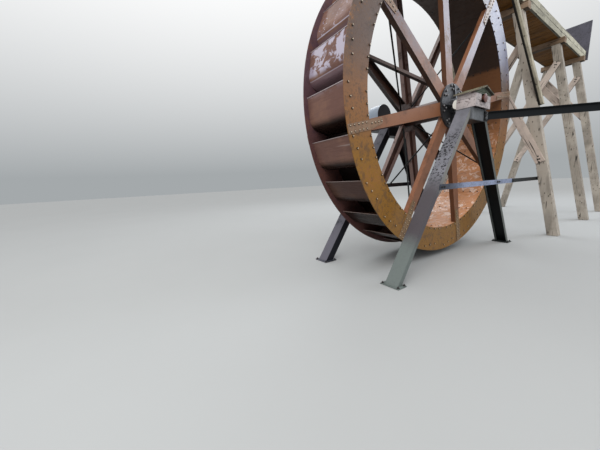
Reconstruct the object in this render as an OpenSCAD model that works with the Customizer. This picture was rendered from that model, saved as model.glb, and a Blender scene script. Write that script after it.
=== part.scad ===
// Overshot steel water wheel on two A-frames, fed by a timber launder on trestle bents.
// X runs along the launder away from the wheel, Y along the shaft, Z up from the foot level.

/* [Wheel] */
// Height of the shaft above the level that the feet stand on
shaft_h = 3450; // [3400:10:3700]
// Outer radius of the wheel
wheel_r = 3300; // [3000:10:3320]
// Radial depth of the rim plates
rim_depth = 545; // [420:5:600]
// Width of the wheel over both rims
wheel_w = 1110; // [900:10:1200]
// Thickness of a rim plate
rim_t = 12; // [8:1:16]
// Gap left between neighbouring plates of the wheel
plate_gap = 4; // [2:1:8]
// Thickness of the sole plates
sole_t = 8; // [5:1:12]
// Number of spokes on each side
spoke_count = 8; // [6:1:10]
// Angle of the first spoke above the X axis
spoke_phase = 12.5; // [0:0.5:20]

/* [Buckets] */
// Buckets in each bay between two spokes
buckets_per_bay = 3; // [2:1:4]
// Thickness of a bucket sheet
bucket_t = 6; // [4:1:10]
// Distance of a bucket lip inside the rim's outer edge
lip_setback = 85; // [20:5:120]
// Distance of a bucket's elbow inside the rim's outer edge
elbow_depth = 110; // [95:5:200]
// Angle from a bucket's lip to its elbow
elbow_sweep = 10.2; // [7:0.2:12]
// Angle from a bucket's lip to its foot on the sole
bucket_sweep = 14; // [11:0.5:14.5]
// Length of the bend on each side of a bucket's elbow
elbow_bend = 180; // [60:5:220]
// Gap between a bucket's foot and the sole plates
sole_gap = 2; // [1:0.5:4]
// Angle from a spoke to the next bucket lip
lip_lead = 1.4; // [0:0.2:4]

/* [Spokes] */
// Width of a spoke's web at the rim
spoke_web = 190; // [140:5:240]
// Width of a spoke's web where its flanges begin at the hub
spoke_root_web = 280; // [200:5:320]
// Width of a spoke's flanges
spoke_flange = 100; // [60:5:130]
// Thickness of a spoke's web and flanges
spoke_t = 10; // [6:1:14]
// Length of a gusset along its spoke
gusset_len = 875; // [700:5:950]
// Width of a gusset across its spoke on the rim
gusset_w = 168; // [140:2:190]
// Width of a gusset at its inner end
gusset_tip_w = 107; // [80:1:130]
// Thickness of a gusset
gusset_t = 10; // [6:1:16]
// Distance of a gusset inside the rim's outer edge
gusset_edge = 4; // [2:1:30]
// Side of a cross brace's square section
brace_side = 70; // [40:5:100]
// Radius at which a brace leaves its near spoke
brace_in = 480; // [400:10:600]
// Radius at which a brace meets its far spoke
brace_out = 2150; // [1600:50:2500]
// Radius at which the tie rods leave the spokes' roots
rod_in = 300; // [270:10:400]
// Distance of a tie rod's end inside the rim's inner edge
rod_end = 60; // [40:10:200]
// Distance of braces and rods from their spokes' middle planes
cross_gap = 3; // [1:1:10]
// Radius of the thin tie rods
rod_r = 17; // [8:1:20]

/* [Hubs] */
// Radius of the near hub's flange
hub_r = 475; // [420:5:560]
// Radius of the far hub's flange
far_hub_r = 350; // [320:5:460]
// Thickness of a hub flange
hub_t = 40; // [25:1:60]
// Radius of a hub's boss
boss_r = 150; // [120:5:200]
// Length of a boss outside its flange
boss_len = 60; // [40:5:100]
// Angle of the two bolt holes of a spoke from its middle
hub_bolt_swing = 7; // [5:0.5:8]
// Radius of the hub bolt holes
hub_bolt_r = 13; // [8:1:18]
// Distance of the bolt holes from a flange's edge
hub_bolt_edge = 45; // [35:5:70]
// Gap between a spoke's root and the drum
root_gap = 12; // [6:1:30]
// Thickness of a hub's ribs
rib_t = 30; // [16:2:40]
// Height of a rib at its outer end
rib_tip = 14; // [8:1:30]
// Distance of a rib's end inside the flange's edge
rib_edge = 6; // [4:1:20]

/* [Shaft] */
// Radius of the tube round the shaft between the hubs
drum_r = 215; // [180:5:240]
// Thickness of that tube
drum_t = 30; // [10:2:50]
// Radius of the shaft in the hubs
shaft_r = 95; // [80:5:110]
// Radius of the shaft's journals
journal_r = 58; // [45:1:70]
// Radial clearance of a journal in its bearing
journal_play = 0.06; // [0.02:0.01:0.1]
// Length of the full shaft outside each hub
shaft_shoulder = 20; // [10:5:40]
// Length that the near shaft end stands out of its bearing box
shaft_proud = 25; // [10:5:60]
// Length of the far shaft end inside its cover
shaft_far_in = 190; // [100:10:260]

/* [A-frames] */
// Distance of the near frame's middle from the wheel's middle
near_frame_y = 970; // [900:10:1100]
// Distance of the far frame's middle from the wheel's middle
far_frame_y = 1010; // [900:10:1100]
// Width of a leg along the shaft
leg_w = 270; // [200:10:320]
// Depth of the near legs' flanges
leg_flange = 95; // [70:5:130]
// Depth of the far legs' flanges
far_leg_flange = 180; // [90:5:240]
// Thickness of a leg's web and flanges
leg_t = 14; // [8:1:20]
// Half width of a frame's head
head_half = 333; // [300:5:400]
// Depth of a frame's head
head_d = 215; // [160:5:260]
// Thickness of a head's plates
head_plate_t = 16; // [10:1:20]
// Drop from the shaft's line to the top of a head
head_drop = 193; // [180:1:240]
// Reach of the feet on the side away from the launder
foot_out = 2595; // [2200:5:2900]
// Reach of the feet on the side of the launder
foot_in = 2385; // [2200:5:2600]
// Thickness of a foot plate
foot_plate_t = 20; // [12:1:30]
// Margin of a foot plate round its leg
foot_margin = 60; // [40:5:120]
// Distance of the holding-down holes inside a foot plate's edge
foot_hole_in = 30; // [24:1:40]
// Radius of the holding-down bolt holes
foot_hole_r = 14; // [8:1:20]

/* [Ties] */
// Height of the ties above foot level
tie_h = 1710; // [1400:10:2000]
// Width of a flat tie
tie_w = 110; // [70:5:160]
// Thickness of a flat tie
tie_t = 14; // [8:1:20]
// Width of the tie on to the first bent
side_tie_w = 100; // [50:5:120]
// Distance of the ties' ends inside the legs' outer faces
tie_inset = 40; // [10:5:80]
// Lap of that tie over the near tie
tie_lap = 150; // [80:10:240]
// Length of the near tie past the launder side leg
tie_past = 1050; // [600:10:1200]
// Height of the bank strut's section
strut_d = 160; // [100:5:200]
// Width of the bank strut's top flange
strut_b = 100; // [60:5:120]
// Thickness of the bank strut's plates
strut_t = 14; // [8:1:18]
// Width of the lug plate at the strut's root
lug_w = 170; // [120:10:200]
// Margin of the strut's end plate and lug round its section
strut_margin = 40; // [20:5:60]
// Radius of the holes in the strut's end plate
strut_hole_r = 9; // [6:1:12]
// Length of the bank strut
strut_len = 2300; // [1500:10:2600]
// Angle of the bank strut out from the X axis
strut_angle = 45; // [30:1:60]

/* [Bearings] */
// Half width of a bearing block
block_half = 175; // [150:5:220]
// Length of a bearing block along the shaft
block_len = 190; // [140:5:240]
// Distance of a block's top below the shaft's line
block_low = 30; // [15:5:60]
// Thickness of the cap over a journal
cap_wall = 38; // [20:1:50]

/* [Bearing box] */
// Half width of the timber box over the near bearing
box_half = 330; // [300:5:380]
// Distance of the timber box's front outside the near frame
box_proud = 90; // [60:5:140]
// Length of the timber box along the shaft
box_len = 375; // [320:5:460]
// Height of the box sides
box_side_h = 290; // [200:5:320]
// Rise of the roof's ridge above its eaves
box_rise = 105; // [80:5:220]
// Thickness of the boards
board_t = 28; // [18:1:40]
// Overhang of the roof boards
roof_over = 50; // [10:5:70]
// Side of the square hole for the shaft end
shaft_hole = 150; // [130:5:200]
// Gap between the gable boards and the roof boards
roof_gap = 1; // [0.5:0.5:3]

/* [Far cover] */
// Radius of the half-round cover
cover_r = 285; // [220:5:330]
// Height of the cover's centre above the shaft's line
cover_rise = 240; // [120:5:300]
// Length of the cover along the shaft
cover_len = 340; // [240:5:420]
// Gap between the far frame and the cover
cover_gap = 130; // [60:5:200]
// Thickness of the cover's sheet
cover_t = 5; // [3:1:8]
// Clearance round the shaft in the cover's end
cover_clear = 15; // [8:1:30]

/* [Launder] */
// Clearance between the wheel and the launder's floor
launder_clear = 100; // [60:5:200]
// Distance of the launder's near face from the wheel's middle
launder_near = 430; // [350:10:520]
// Distance of the launder's far face from the wheel's middle
launder_far = 770; // [430:10:900]
// Height of the launder's sides
launder_h = 385; // [260:5:480]
// Thickness of the launder's sides
launder_side_t = 65; // [40:5:90]
// Thickness of the launder's floor boards
floor_t = 45; // [30:5:70]
// Width of one floor board
floor_board_w = 220; // [150:10:300]
// Gap between two floor boards
floor_gap = 4; // [2:1:8]
// Distance of the launder's tail past the wheel's middle
launder_tail = 350; // [200:10:600]
// Distance of the launder's head from the wheel's middle
launder_head = 12000; // [11600:50:12600]

/* [Trestles] */
// Distance of the first bent from the wheel's middle
bent_x = 4150; // [3900:10:4500]
// Distance between the first and the second bent
bent_step_1 = 3950; // [3300:10:4200]
// Distance between the second and the third bent
bent_step_2 = 3150; // [2600:10:3300]
// Side of a trestle post
post_w = 255; // [180:5:300]
// Lean of the posts across the launder, per unit of height
post_lean = 0.205; // [0.1:0.005:0.26]
// Depth of the cap beam on a bent
cap_d = 200; // [140:5:260]
// Length of a cap beam past the posts
cap_past = 120; // [40:10:260]
// Width of a brace plank
plank_w = 225; // [140:5:240]
// Thickness of a brace plank
plank_t = 55; // [35:5:75]
// Height of the first bent's rising plank on its near post
brace_a_low = 2180; // [1600:10:2800]
// Height of the other bents' rising planks on their near posts
brace_b_low = 4060; // [3000:10:4400]
// Height of the rising planks on the far posts
brace_far_high = 6200; // [5600:10:6400]
// Height of the first bent's other plank on its near post
brace_a_high = 5900; // [5400:10:6400]
// Height of the other bents' other planks on their near posts
brace_b_high = 6000; // [5400:10:6400]
// Height of the falling planks on the far posts
brace_far_low = 2475; // [1800:10:3000]
// Reach of the knee struts towards the wheel
knee_reach = 1500; // [900:10:1900]
// Height of the knee struts' feet above foot level
knee_foot_h = 3850; // [3500:10:4400]
// Width of a knee strut across the launder
knee_w = 110; // [80:5:160]
// Depth of a knee strut
knee_d = 155; // [100:5:200]

/* [Head panel] */
// Height of the head panel above the launder's underside
panel_h = 1650; // [1200:10:1800]
// Length of the head panel past the launder's sides
panel_past = 75; // [40:5:160]
// Thickness of the head panel's sheet
panel_t = 6; // [4:1:12]
// Width of the head panel's folded edges
panel_fold = 60; // [40:5:100]

/* [Hidden] */
$fn = 96;

rust = [0.42, 0.28, 0.20];
dark_rust = [0.30, 0.17, 0.12];
slate = [0.30, 0.32, 0.34];
grey_paint = [0.45, 0.46, 0.48];
black_paint = [0.08, 0.09, 0.11];
timber = [0.55, 0.50, 0.42];
pale_timber = [0.66, 0.60, 0.50];
mossy_timber = [0.48, 0.48, 0.34];
panel_grey = [0.25, 0.25, 0.29];

bay = 360 / spoke_count;
rim_in = wheel_r - rim_depth;
sole_out = rim_in + sole_t;
inner_w = wheel_w - 2 * rim_t;
bucket_pitch = bay / buckets_per_bay;
lip_r = wheel_r - lip_setback;
ring_steps = 16;
rim_flat = rim_in * cos(bay / ring_steps / 2);
spoke_root = drum_r + root_gap;
spoke_corner = spoke_root_web / 2 / tan(bay / 2) + root_gap;
hub_ribs = 4;
spoke_end = sqrt(rim_flat * rim_flat - spoke_web * spoke_web / 4);
head_top = shaft_h - head_drop;
launder_z = shaft_h + wheel_r + launder_clear;
bents = [bent_x, bent_x + bent_step_1, bent_x + bent_step_1 + bent_step_2];
cap_top = launder_z;
post_top = cap_top - cap_d;
near_box_y = -(near_frame_y + leg_w / 2 + box_proud);

// Stands what is drawn in the wheel's plane (x, height) upright, from y_low over length
module upright(y_low, length) {
    translate([0, y_low + length, 0])
        rotate([90, 0, 0])
            linear_extrude(length)
                children();
}

// Sector of a ring between two angles
module ring_sector(r_in, r_out, a_from, a_to) {
    polygon(concat(
        [for (i = [0 : ring_steps]) let (a = a_from + (a_to - a_from) * i / ring_steps)
            r_out * [cos(a), sin(a)]],
        [for (i = [ring_steps : -1 : 0]) let (a = a_from + (a_to - a_from) * i / ring_steps)
            r_in * [cos(a), sin(a)]]));
}

// Ring of plates, one to each bay, joined on the spokes' lines
module plate_ring(r_in, r_out, y_low, length) {
    for (k = [0 : spoke_count - 1]) {
        cut = asin(plate_gap / 2 / r_in);
        a = spoke_phase + k * bay;
        translate([0, 0, shaft_h])
            upright(y_low, length)
                ring_sector(r_in, r_out, a + cut, a + bay - cut);
    }
}

module near_rim() {
    color(rust) plate_ring(rim_in, wheel_r, -wheel_w / 2, rim_t);
}

module far_rim() {
    color(dark_rust) plate_ring(rim_in, wheel_r, wheel_w / 2 - rim_t, rim_t);
}

module sole_plates() {
    color(dark_rust) plate_ring(rim_in, sole_out, -inner_w / 2, inner_w);
}

function polar(r, a) = r * [cos(a), sin(a)];

// Points of a rounded corner at b on the way from a to c, with its bend starting at length k
function bend(a, b, c, k) = let (p = b + k * (a - b) / norm(a - b), q = b + k * (c - b) / norm(c - b))
    [for (t = [0 : 0.25 : 1]) (1 - t) * (1 - t) * p + 2 * t * (1 - t) * b + t * t * q];

// Sheet along a line of points, as thick as t to their left
module sheet_line(points, t) {
    for (i = [0 : len(points) - 2]) {
        v = (points[i + 1] - points[i]) / norm(points[i + 1] - points[i]);
        n = t * [-v[1], v[0]];
        polygon([points[i], points[i + 1], points[i + 1] + n, points[i] + n]);
    }
}

// Section of a bucket: a front plate from the lip to the elbow and a foot plate down to the sole
module bucket_profile() {
    lip = [lip_r, 0];
    elbow = polar(wheel_r - elbow_depth, elbow_sweep);
    foot = polar(sole_out, bucket_sweep);
    difference() {
        sheet_line(concat([lip], bend(lip, elbow, foot, elbow_bend), [foot]), bucket_t);
        circle(r = sole_out + sole_gap);
    }
}

module buckets() {
    color(dark_rust)
        for (k = [0 : spoke_count * buckets_per_bay - 1])
            translate([0, 0, shaft_h])
                rotate([0, -(spoke_phase + lip_lead + k * bucket_pitch), 0])
                    upright(-inner_w / 2, inner_w)
                        bucket_profile();
}

// Tapered channel with its web's outer face at y_web, its flanges towards side, along the X axis
module spoke(y_web, side) {
    root_half = (spoke_root - root_gap) * tan(bay / 2);
    corner_half = spoke_root_web / 2;
    end_half = spoke_web / 2;
    upright(side > 0 ? y_web : y_web - spoke_t, spoke_t)
        polygon([
            [spoke_root, -root_half], [spoke_corner, -corner_half], [spoke_end, -end_half],
            [spoke_end, end_half], [spoke_corner, corner_half], [spoke_root, root_half]]);
    for (s = [-1, 1])
        upright(side > 0 ? y_web : y_web - spoke_flange, spoke_flange)
            polygon([
                [spoke_corner, s * corner_half], [spoke_end, s * end_half],
                [spoke_end, s * (end_half - spoke_t)], [spoke_corner, s * (corner_half - spoke_t)]]);
}

module spoke_ring(y_web, side) {
    for (k = [0 : spoke_count - 1])
        translate([0, 0, shaft_h])
            rotate([0, -(spoke_phase + k * bay), 0])
                spoke(y_web, side);
}

module near_spokes() {
    color(rust) spoke_ring(-wheel_w / 2, 1);
}

module far_spokes() {
    color(dark_rust) spoke_ring(wheel_w / 2, -1);
}

// Riveted plate over a spoke's end and the joint of two rim plates
module gusset(y_low) {
    translate([0, 0, shaft_h])
        upright(y_low, gusset_t)
            polygon([
                [wheel_r - gusset_edge, gusset_w / 2],
                [rim_in, gusset_w / 2],
                [wheel_r - gusset_len, gusset_tip_w - gusset_w / 2],
                [wheel_r - gusset_len, -gusset_w / 2],
                [wheel_r - gusset_edge, -gusset_w / 2]]);
}

module gusset_ring(y_low) {
    for (k = [0 : spoke_count - 1])
        translate([0, 0, shaft_h])
            rotate([0, -(spoke_phase + k * bay), 0])
                translate([0, 0, -shaft_h])
                    gusset(y_low);
}

module near_gussets() {
    color(rust) gusset_ring(-wheel_w / 2 - gusset_t);
}

module far_gussets() {
    color(dark_rust) gusset_ring(wheel_w / 2);
}

// Ribbed hub: a flange bolted over the spokes' roots, and a boss on the shaft
module hub(y_spoke, side, flange_r) {
    whole = hub_t + boss_len;
    translate([0, y_spoke, shaft_h])
        rotate([side > 0 ? 90 : -90, 0, 0])
            difference() {
                union() {
                    cylinder(r = flange_r, h = hub_t);
                    cylinder(r = boss_r, h = whole);
                    for (k = [0 : hub_ribs - 1])
                        rotate([0, 0, k * 360 / hub_ribs])
                            upright(-rib_t / 2, rib_t)
                                polygon([
                                    [shaft_r, 0], [flange_r - rib_edge, 0],
                                    [flange_r - rib_edge, hub_t + rib_tip], [boss_r, whole],
                                    [shaft_r, whole]]);
                }
                translate([0, 0, -1]) cylinder(r = shaft_r, h = whole + 2);
                for (k = [0 : spoke_count - 1], swing = [-hub_bolt_swing, hub_bolt_swing])
                    rotate([0, 0, side * (spoke_phase + k * bay) + swing])
                        translate([flange_r - hub_bolt_edge, 0, -1])
                            cylinder(r = hub_bolt_r, h = hub_t + 2, $fn = 24);
            }
}

module near_hub() {
    color(slate) hub(-wheel_w / 2, 1, hub_r);
}

module far_hub() {
    color(slate) hub(wheel_w / 2, -1, far_hub_r);
}

module shaft() {
    near_end = near_box_y - shaft_proud;
    core = wheel_w + 2 * (hub_t + boss_len + shaft_shoulder);
    far_end = far_frame_y + leg_w / 2 + cover_gap + shaft_far_in;
    color(rust)
        translate([0, 0, shaft_h])
            rotate([-90, 0, 0]) {
                difference() {
                    translate([0, 0, -wheel_w / 2]) cylinder(r = drum_r, h = wheel_w);
                    translate([0, 0, -wheel_w]) cylinder(r = drum_r - drum_t, h = 2 * wheel_w);
                }
                translate([0, 0, -core / 2]) cylinder(r = shaft_r, h = core);
                translate([0, 0, near_end]) cylinder(r = journal_r, h = far_end - near_end);
            }
}

// Bar between two points, with its section b across and d upright
module bar(p, q, b, d) {
    v = q - p;
    flat = norm([v[0], v[1]]);
    translate(p)
        rotate([0, -atan2(v[2], flat), atan2(v[1], v[0])])
            translate([0, -b / 2, -d / 2])
                cube([norm(v), b, d]);
}

module rod(p, q, r) {
    v = q - p;
    flat = norm([v[0], v[1]]);
    translate(p)
        rotate([0, 90 - atan2(v[2], flat), atan2(v[1], v[0])])
            cylinder(r = r, h = norm(v), $fn = 16);
}

// Draws its children in the planes of every step-th spoke from first, between the spokes' webs
module between_spokes(first, step) {
    reach = wheel_w / 2 - spoke_t;
    for (k = [first : step : spoke_count - 1])
        translate([0, 0, shaft_h])
            rotate([0, -(spoke_phase + k * bay), 0])
                intersection() {
                    children();
                    translate([-wheel_r, -reach, -wheel_r])
                        cube([2 * wheel_r, 2 * reach, 2 * wheel_r]);
                }
}

// Braces from two near spokes at the hub out to the far spokes
module cross_braces() {
    off = -(brace_side / 2 + cross_gap);
    color(rust)
        between_spokes(3, 4)
            bar([brace_in, -wheel_w / 2, off], [brace_out, wheel_w / 2, off], brace_side, brace_side);
}

// Thin rods across the wheel: far roots to the near rim, and two from the near roots to the far rim
module tie_rods() {
    off = rod_r + cross_gap;
    rod_out = rim_in - rod_end;
    color(black_paint) {
        between_spokes(1, 2)
            rod([rod_in, wheel_w / 2, off], [rod_out, -wheel_w / 2, off], rod_r);
        between_spokes(1, 4)
            rod([rod_in, -wheel_w / 2, -off], [rod_out, wheel_w / 2, -off], rod_r);
    }
}

// Reach of a leg's outer face at height z, and the length of its slope for each unit of height
function leg_x(foot, z) = foot - (z - foot_plate_t) * (foot - head_half) / (head_top - foot_plate_t);
function leg_slant(foot) = norm([1, (foot - head_half) / (head_top - foot_plate_t)]);

// Leg of an A-frame: a channel leaning from the head to its foot plate, web outside
module leg(y_mid, side, foot, flange) {
    y0 = y_mid - leg_w / 2;
    slant = leg_slant(foot);
    hole_out = foot_margin - foot_hole_in;
    // Outline of the leg in the frame's plane, as deep as depth inside its outer face
    module outline(depth) {
        polygon([
            [side * foot, foot_plate_t],
            [side * head_half, head_top],
            [side * (head_half - depth * slant), head_top],
            [side * (foot - depth * slant), foot_plate_t]]);
    }
    upright(y0, leg_w) outline(leg_t);
    for (y = [y0, y0 + leg_w - leg_t])
        upright(y, leg_t) outline(flange);
    difference() {
        translate([side * (foot - flange * slant / 2), y_mid, foot_plate_t / 2])
            cube([flange * slant + 2 * foot_margin, leg_w + 2 * foot_margin, foot_plate_t],
                center = true);
        for (x = [foot + hole_out, foot - flange * slant - hole_out], y = [-1, 1])
            translate([side * x, y_mid + y * (leg_w / 2 + hole_out), -1])
                cylinder(r = foot_hole_r, h = foot_plate_t + 2, $fn = 24);
    }
}

module near_left_leg() {
    color(grey_paint) leg(-near_frame_y, -1, foot_out, leg_flange);
}

module near_right_leg() {
    color(black_paint) leg(-near_frame_y, 1, foot_in, leg_flange);
}

module far_left_leg() {
    color(black_paint) leg(far_frame_y, -1, foot_out, far_leg_flange);
}

module far_right_leg() {
    color(black_paint) leg(far_frame_y, 1, foot_in, far_leg_flange);
}

// Head of an A-frame: face plates, top and bottom plates and stiffeners between the legs
module head(y_mid, reach) {
    y0 = y_mid - leg_w / 2;
    inside = leg_w - 2 * leg_t;
    half = head_half - head_plate_t - leg_t * max(leg_slant(foot_out), leg_slant(foot_in));
    for (x = [-half, -block_half, block_half - head_plate_t, half - head_plate_t])
        translate([x, y0 + leg_t, head_top - head_d]) cube([head_plate_t, inside, head_d]);
    translate([-half, y0 + leg_t, head_top - head_d]) cube([2 * half, inside, head_plate_t]);
    for (y = [y0 - head_plate_t, y0 + leg_w])
        translate([-head_half, y, head_top - head_d])
            cube([2 * head_half, head_plate_t, head_d]);
    translate([-head_half, y0 - head_plate_t, head_top])
        cube([2 * head_half, leg_w + 2 * head_plate_t + reach, head_plate_t]);
}

module near_head() {
    color(grey_paint) head(-near_frame_y, 0);
}

module far_head() {
    color(black_paint) head(far_frame_y, cover_gap + cover_len);
}

// Bearing: a block on the head and a cap over the journal
module bearing(y_mid) {
    base = head_top + head_plate_t;
    difference() {
        union() {
            translate([-block_half, y_mid - block_len / 2, base])
                cube([2 * block_half, block_len, shaft_h - base - block_low]);
            translate([0, y_mid + block_len / 2, shaft_h])
                rotate([90, 0, 0])
                    cylinder(r = journal_r + cap_wall, h = block_len);
        }
        translate([0, y_mid + block_len, shaft_h])
            rotate([90, 0, 0])
                cylinder(r = journal_r + journal_play, h = 2 * block_len);
    }
}

module near_bearing() {
    color(slate) bearing(-near_frame_y);
}

module far_bearing() {
    color(slate) bearing(far_frame_y);
}

// Timber box over the near bearing: two sides and two gable ends
module box_boards() {
    base = head_top + head_plate_t;
    eaves = base + box_side_h - roof_gap;
    y0 = near_box_y;
    color(pale_timber)
        difference() {
            union() {
                for (x = [-box_half, box_half - board_t])
                    translate([x, y0, base]) cube([board_t, box_len, eaves - base]);
                for (y = [y0, y0 + box_len - board_t])
                    upright(y, board_t)
                        polygon([[-box_half, base], [box_half, base],
                            [box_half, eaves], [0, eaves + box_rise], [-box_half, eaves]]);
            }
            translate([-shaft_hole / 2, y0 - 1, shaft_h - shaft_hole / 2])
                cube([shaft_hole, box_len + 2, shaft_hole]);
        }
}

module box_roof() {
    base = head_top + head_plate_t + box_side_h;
    slope = box_rise / box_half;
    color(timber)
        upright(near_box_y - roof_over, box_len + 2 * roof_over)
            polygon([
                [-box_half - roof_over, base - roof_over * slope],
                [0, base + box_rise],
                [box_half + roof_over, base - roof_over * slope],
                [box_half + roof_over, base - roof_over * slope + board_t],
                [0, base + box_rise + board_t],
                [-box_half - roof_over, base - roof_over * slope + board_t]]);
}

// Half-round sheet cover over the far shaft end
module far_cover() {
    base = head_top + head_plate_t;
    centre = shaft_h + cover_rise;
    y0 = far_frame_y + leg_w / 2 + cover_gap;
    module shape(r) {
        translate([0, centre]) circle(r = r);
        translate([-r, base]) square([2 * r, centre - base]);
    }
    color(slate)
        difference() {
            upright(y0, cover_len) shape(cover_r);
            translate([0, 0, -1])
                upright(y0 + cover_t, cover_len - 2 * cover_t) shape(cover_r - cover_t);
            translate([0, y0 + cover_len / 2, shaft_h])
                rotate([90, 0, 0]) cylinder(r = journal_r + cover_clear, h = cover_len);
        }
}

module near_tie() {
    y = -near_frame_y - leg_w / 2 - tie_t;
    color(grey_paint)
        translate([-leg_x(foot_out, tie_h) + tie_inset, y, tie_h - tie_w / 2])
            cube([leg_x(foot_out, tie_h) + leg_x(foot_in, tie_h) + tie_past - tie_inset,
                tie_t, tie_w]);
}

// Flat bar lapped on the near tie and bolted to the inner face of the first bent's post
module side_tie() {
    y = -near_frame_y - leg_w / 2 - tie_t * 1.5;
    x = leg_x(foot_in, tie_h) + tie_past - tie_lap;
    y_post = post_w + tie_t - post_y(launder_near, tie_h + side_tie_w / 2);
    color(black_paint)
        bar([x, y, tie_h], [bent_x + post_w / 2, y_post, tie_h], tie_t, side_tie_w);
}

module far_tie() {
    y = far_frame_y + leg_w / 2;
    color(black_paint)
        translate([-leg_x(foot_out, tie_h) + tie_inset, y, tie_h - tie_w / 2])
            cube([leg_x(foot_out, tie_h) + leg_x(foot_in, tie_h) - 2 * tie_inset, tie_t, tie_w]);
}

// Strut from the near head out to the bank, with a lug at its root and a plate at its end
module bank_strut() {
    front = -near_frame_y - leg_w / 2 - head_plate_t - strut_t;
    mid_z = head_top - head_d / 2;
    lug_h = strut_d + strut_margin;
    plate = strut_d + 2 * strut_margin;
    color(black_paint) {
        translate([head_half - lug_w / 2, front, mid_z - lug_h / 2])
            cube([lug_w, strut_t, lug_h]);
        translate([head_half, front - strut_b / 2 * sin(strut_angle), mid_z])
            rotate([0, 0, -strut_angle]) {
                translate([0, -strut_b / 2, strut_d / 2 - strut_t])
                    cube([strut_len, strut_b, strut_t]);
                translate([0, -strut_t / 2, -strut_d / 2]) cube([strut_len, strut_t, strut_d]);
                translate([strut_len, 0, 0])
                    difference() {
                        translate([0, -plate / 2, -plate / 2]) cube([strut_t, plate, plate]);
                        for (y = [-1, 1], z = [-1, 1])
                            translate([-1, y * (plate - strut_margin) / 2,
                                    z * (plate - strut_margin) / 2])
                                rotate([0, 90, 0])
                                    cylinder(r = strut_hole_r, h = strut_t + 2, $fn = 24);
                    }
            }
    }
}

module launder_floor() {
    first = -launder_tail;
    count = floor((launder_head - first) / (floor_board_w + floor_gap));
    width = launder_near + launder_far - 2 * launder_side_t;
    color(timber)
        for (k = [0 : count - 1])
            translate([first + k * (floor_board_w + floor_gap), -launder_near + launder_side_t,
                    launder_z])
                cube([floor_board_w, width, floor_t]);
}

module launder_side(y0) {
    translate([-launder_tail, y0, launder_z])
        cube([launder_head + launder_tail, launder_side_t, launder_h]);
}

module launder_near_side() {
    color(mossy_timber) launder_side(-launder_near);
}

module launder_far_side() {
    color(timber) launder_side(launder_far - launder_side_t);
}

module head_panel() {
    y0 = -launder_near - panel_past;
    width = launder_near + launder_far + 2 * panel_past;
    color(panel_grey)
        translate([launder_head, y0, launder_z]) {
            cube([panel_t, width, panel_h]);
            for (y = [0, width - panel_t])
                translate([0, y, 0]) cube([panel_fold, panel_t, panel_h]);
            translate([0, 0, panel_h - panel_t]) cube([panel_fold, width, panel_t]);
        }
}

// Post of a bent, leaning outwards to the foot; side is -1 near, 1 far
module post(x, side, y_top) {
    drop = post_top;
    y_foot = y_top + drop * post_lean;
    translate([x - post_w / 2, 0, 0])
        rotate([90, 0, 90])
            linear_extrude(post_w)
                polygon([[side * y_top, post_top], [side * (y_top - post_w), post_top],
                    [side * (y_foot - post_w), 0], [side * y_foot, 0]]);
}

// Inner and outer faces of a post at height z
function post_y(y_top, z) = y_top + (post_top - z) * post_lean;

module bent_cap(x) {
    translate([x - post_w / 2, -launder_near - cap_past, cap_top - cap_d])
        cube([post_w, launder_near + launder_far + 2 * cap_past, cap_d]);
}

// Plank on the face x_face of a bent, between heights on the near and the far post
module bent_plank(x_face, z_near, z_far) {
    p = [x_face + plank_t / 2, -post_y(launder_near, z_near) + post_w / 2, z_near];
    q = [x_face + plank_t / 2, post_y(launder_far, z_far) - post_w / 2, z_far];
    bar(p, q, plank_t, plank_w);
}

// Two crossing planks on opposite faces of a bent's posts; the first falls to the near post
module bent_braces(x, low_near, high_near, first_on_wheel_side) {
    wheel_face = x - post_w / 2 - plank_t;
    head_face = x + post_w / 2;
    bent_plank(first_on_wheel_side ? wheel_face : head_face, low_near, brace_far_high);
    bent_plank(first_on_wheel_side ? head_face : wheel_face, high_near, brace_far_low);
}

module bent_a_near_post() {
    color(timber) post(bents[0], -1, launder_near);
}

module bent_a_far_post() {
    color(timber) post(bents[0], 1, launder_far);
}

module bent_a_cap() {
    color(timber) bent_cap(bents[0]);
}

module bent_a_braces() {
    color(pale_timber) bent_braces(bents[0], brace_a_low, brace_a_high, true);
}

module bent_b_near_post() {
    color(timber) post(bents[1], -1, launder_near);
}

module bent_b_far_post() {
    color(timber) post(bents[1], 1, launder_far);
}

module bent_b_cap() {
    color(timber) bent_cap(bents[1]);
}

module bent_b_braces() {
    color(pale_timber) bent_braces(bents[1], brace_b_low, brace_b_high, false);
}

module bent_c_near_post() {
    color(timber) post(bents[2], -1, launder_near);
}

module bent_c_far_post() {
    color(timber) post(bents[2], 1, launder_far);
}

module bent_c_cap() {
    color(timber) bent_cap(bents[2]);
}

module bent_c_braces() {
    color(pale_timber) bent_braces(bents[2], brace_b_low, brace_b_high, false);
}

// Strut from the outside of the first bent's post up to the launder's side, leaning with both
module knee(side, y_top) {
    y_foot = post_y(y_top, knee_foot_h);
    rise = launder_z + launder_h / 2 - knee_foot_h;
    slope = norm([rise, y_foot - y_top]);
    half = knee_d / 2 * norm([slope, knee_reach]) / slope;
    translate([bents[0], side * y_foot, knee_foot_h])
        rotate([side * atan2(y_foot - y_top, rise), 0, 0])
            upright(side > 0 ? 0 : -knee_w, knee_w)
                polygon([[-half, 0], [half, 0], [half - knee_reach, slope],
                    [-half - knee_reach, slope]]);
}

module near_knee() {
    color(mossy_timber) knee(-1, launder_near);
}

module far_knee() {
    color(timber) knee(1, launder_far);
}

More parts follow.
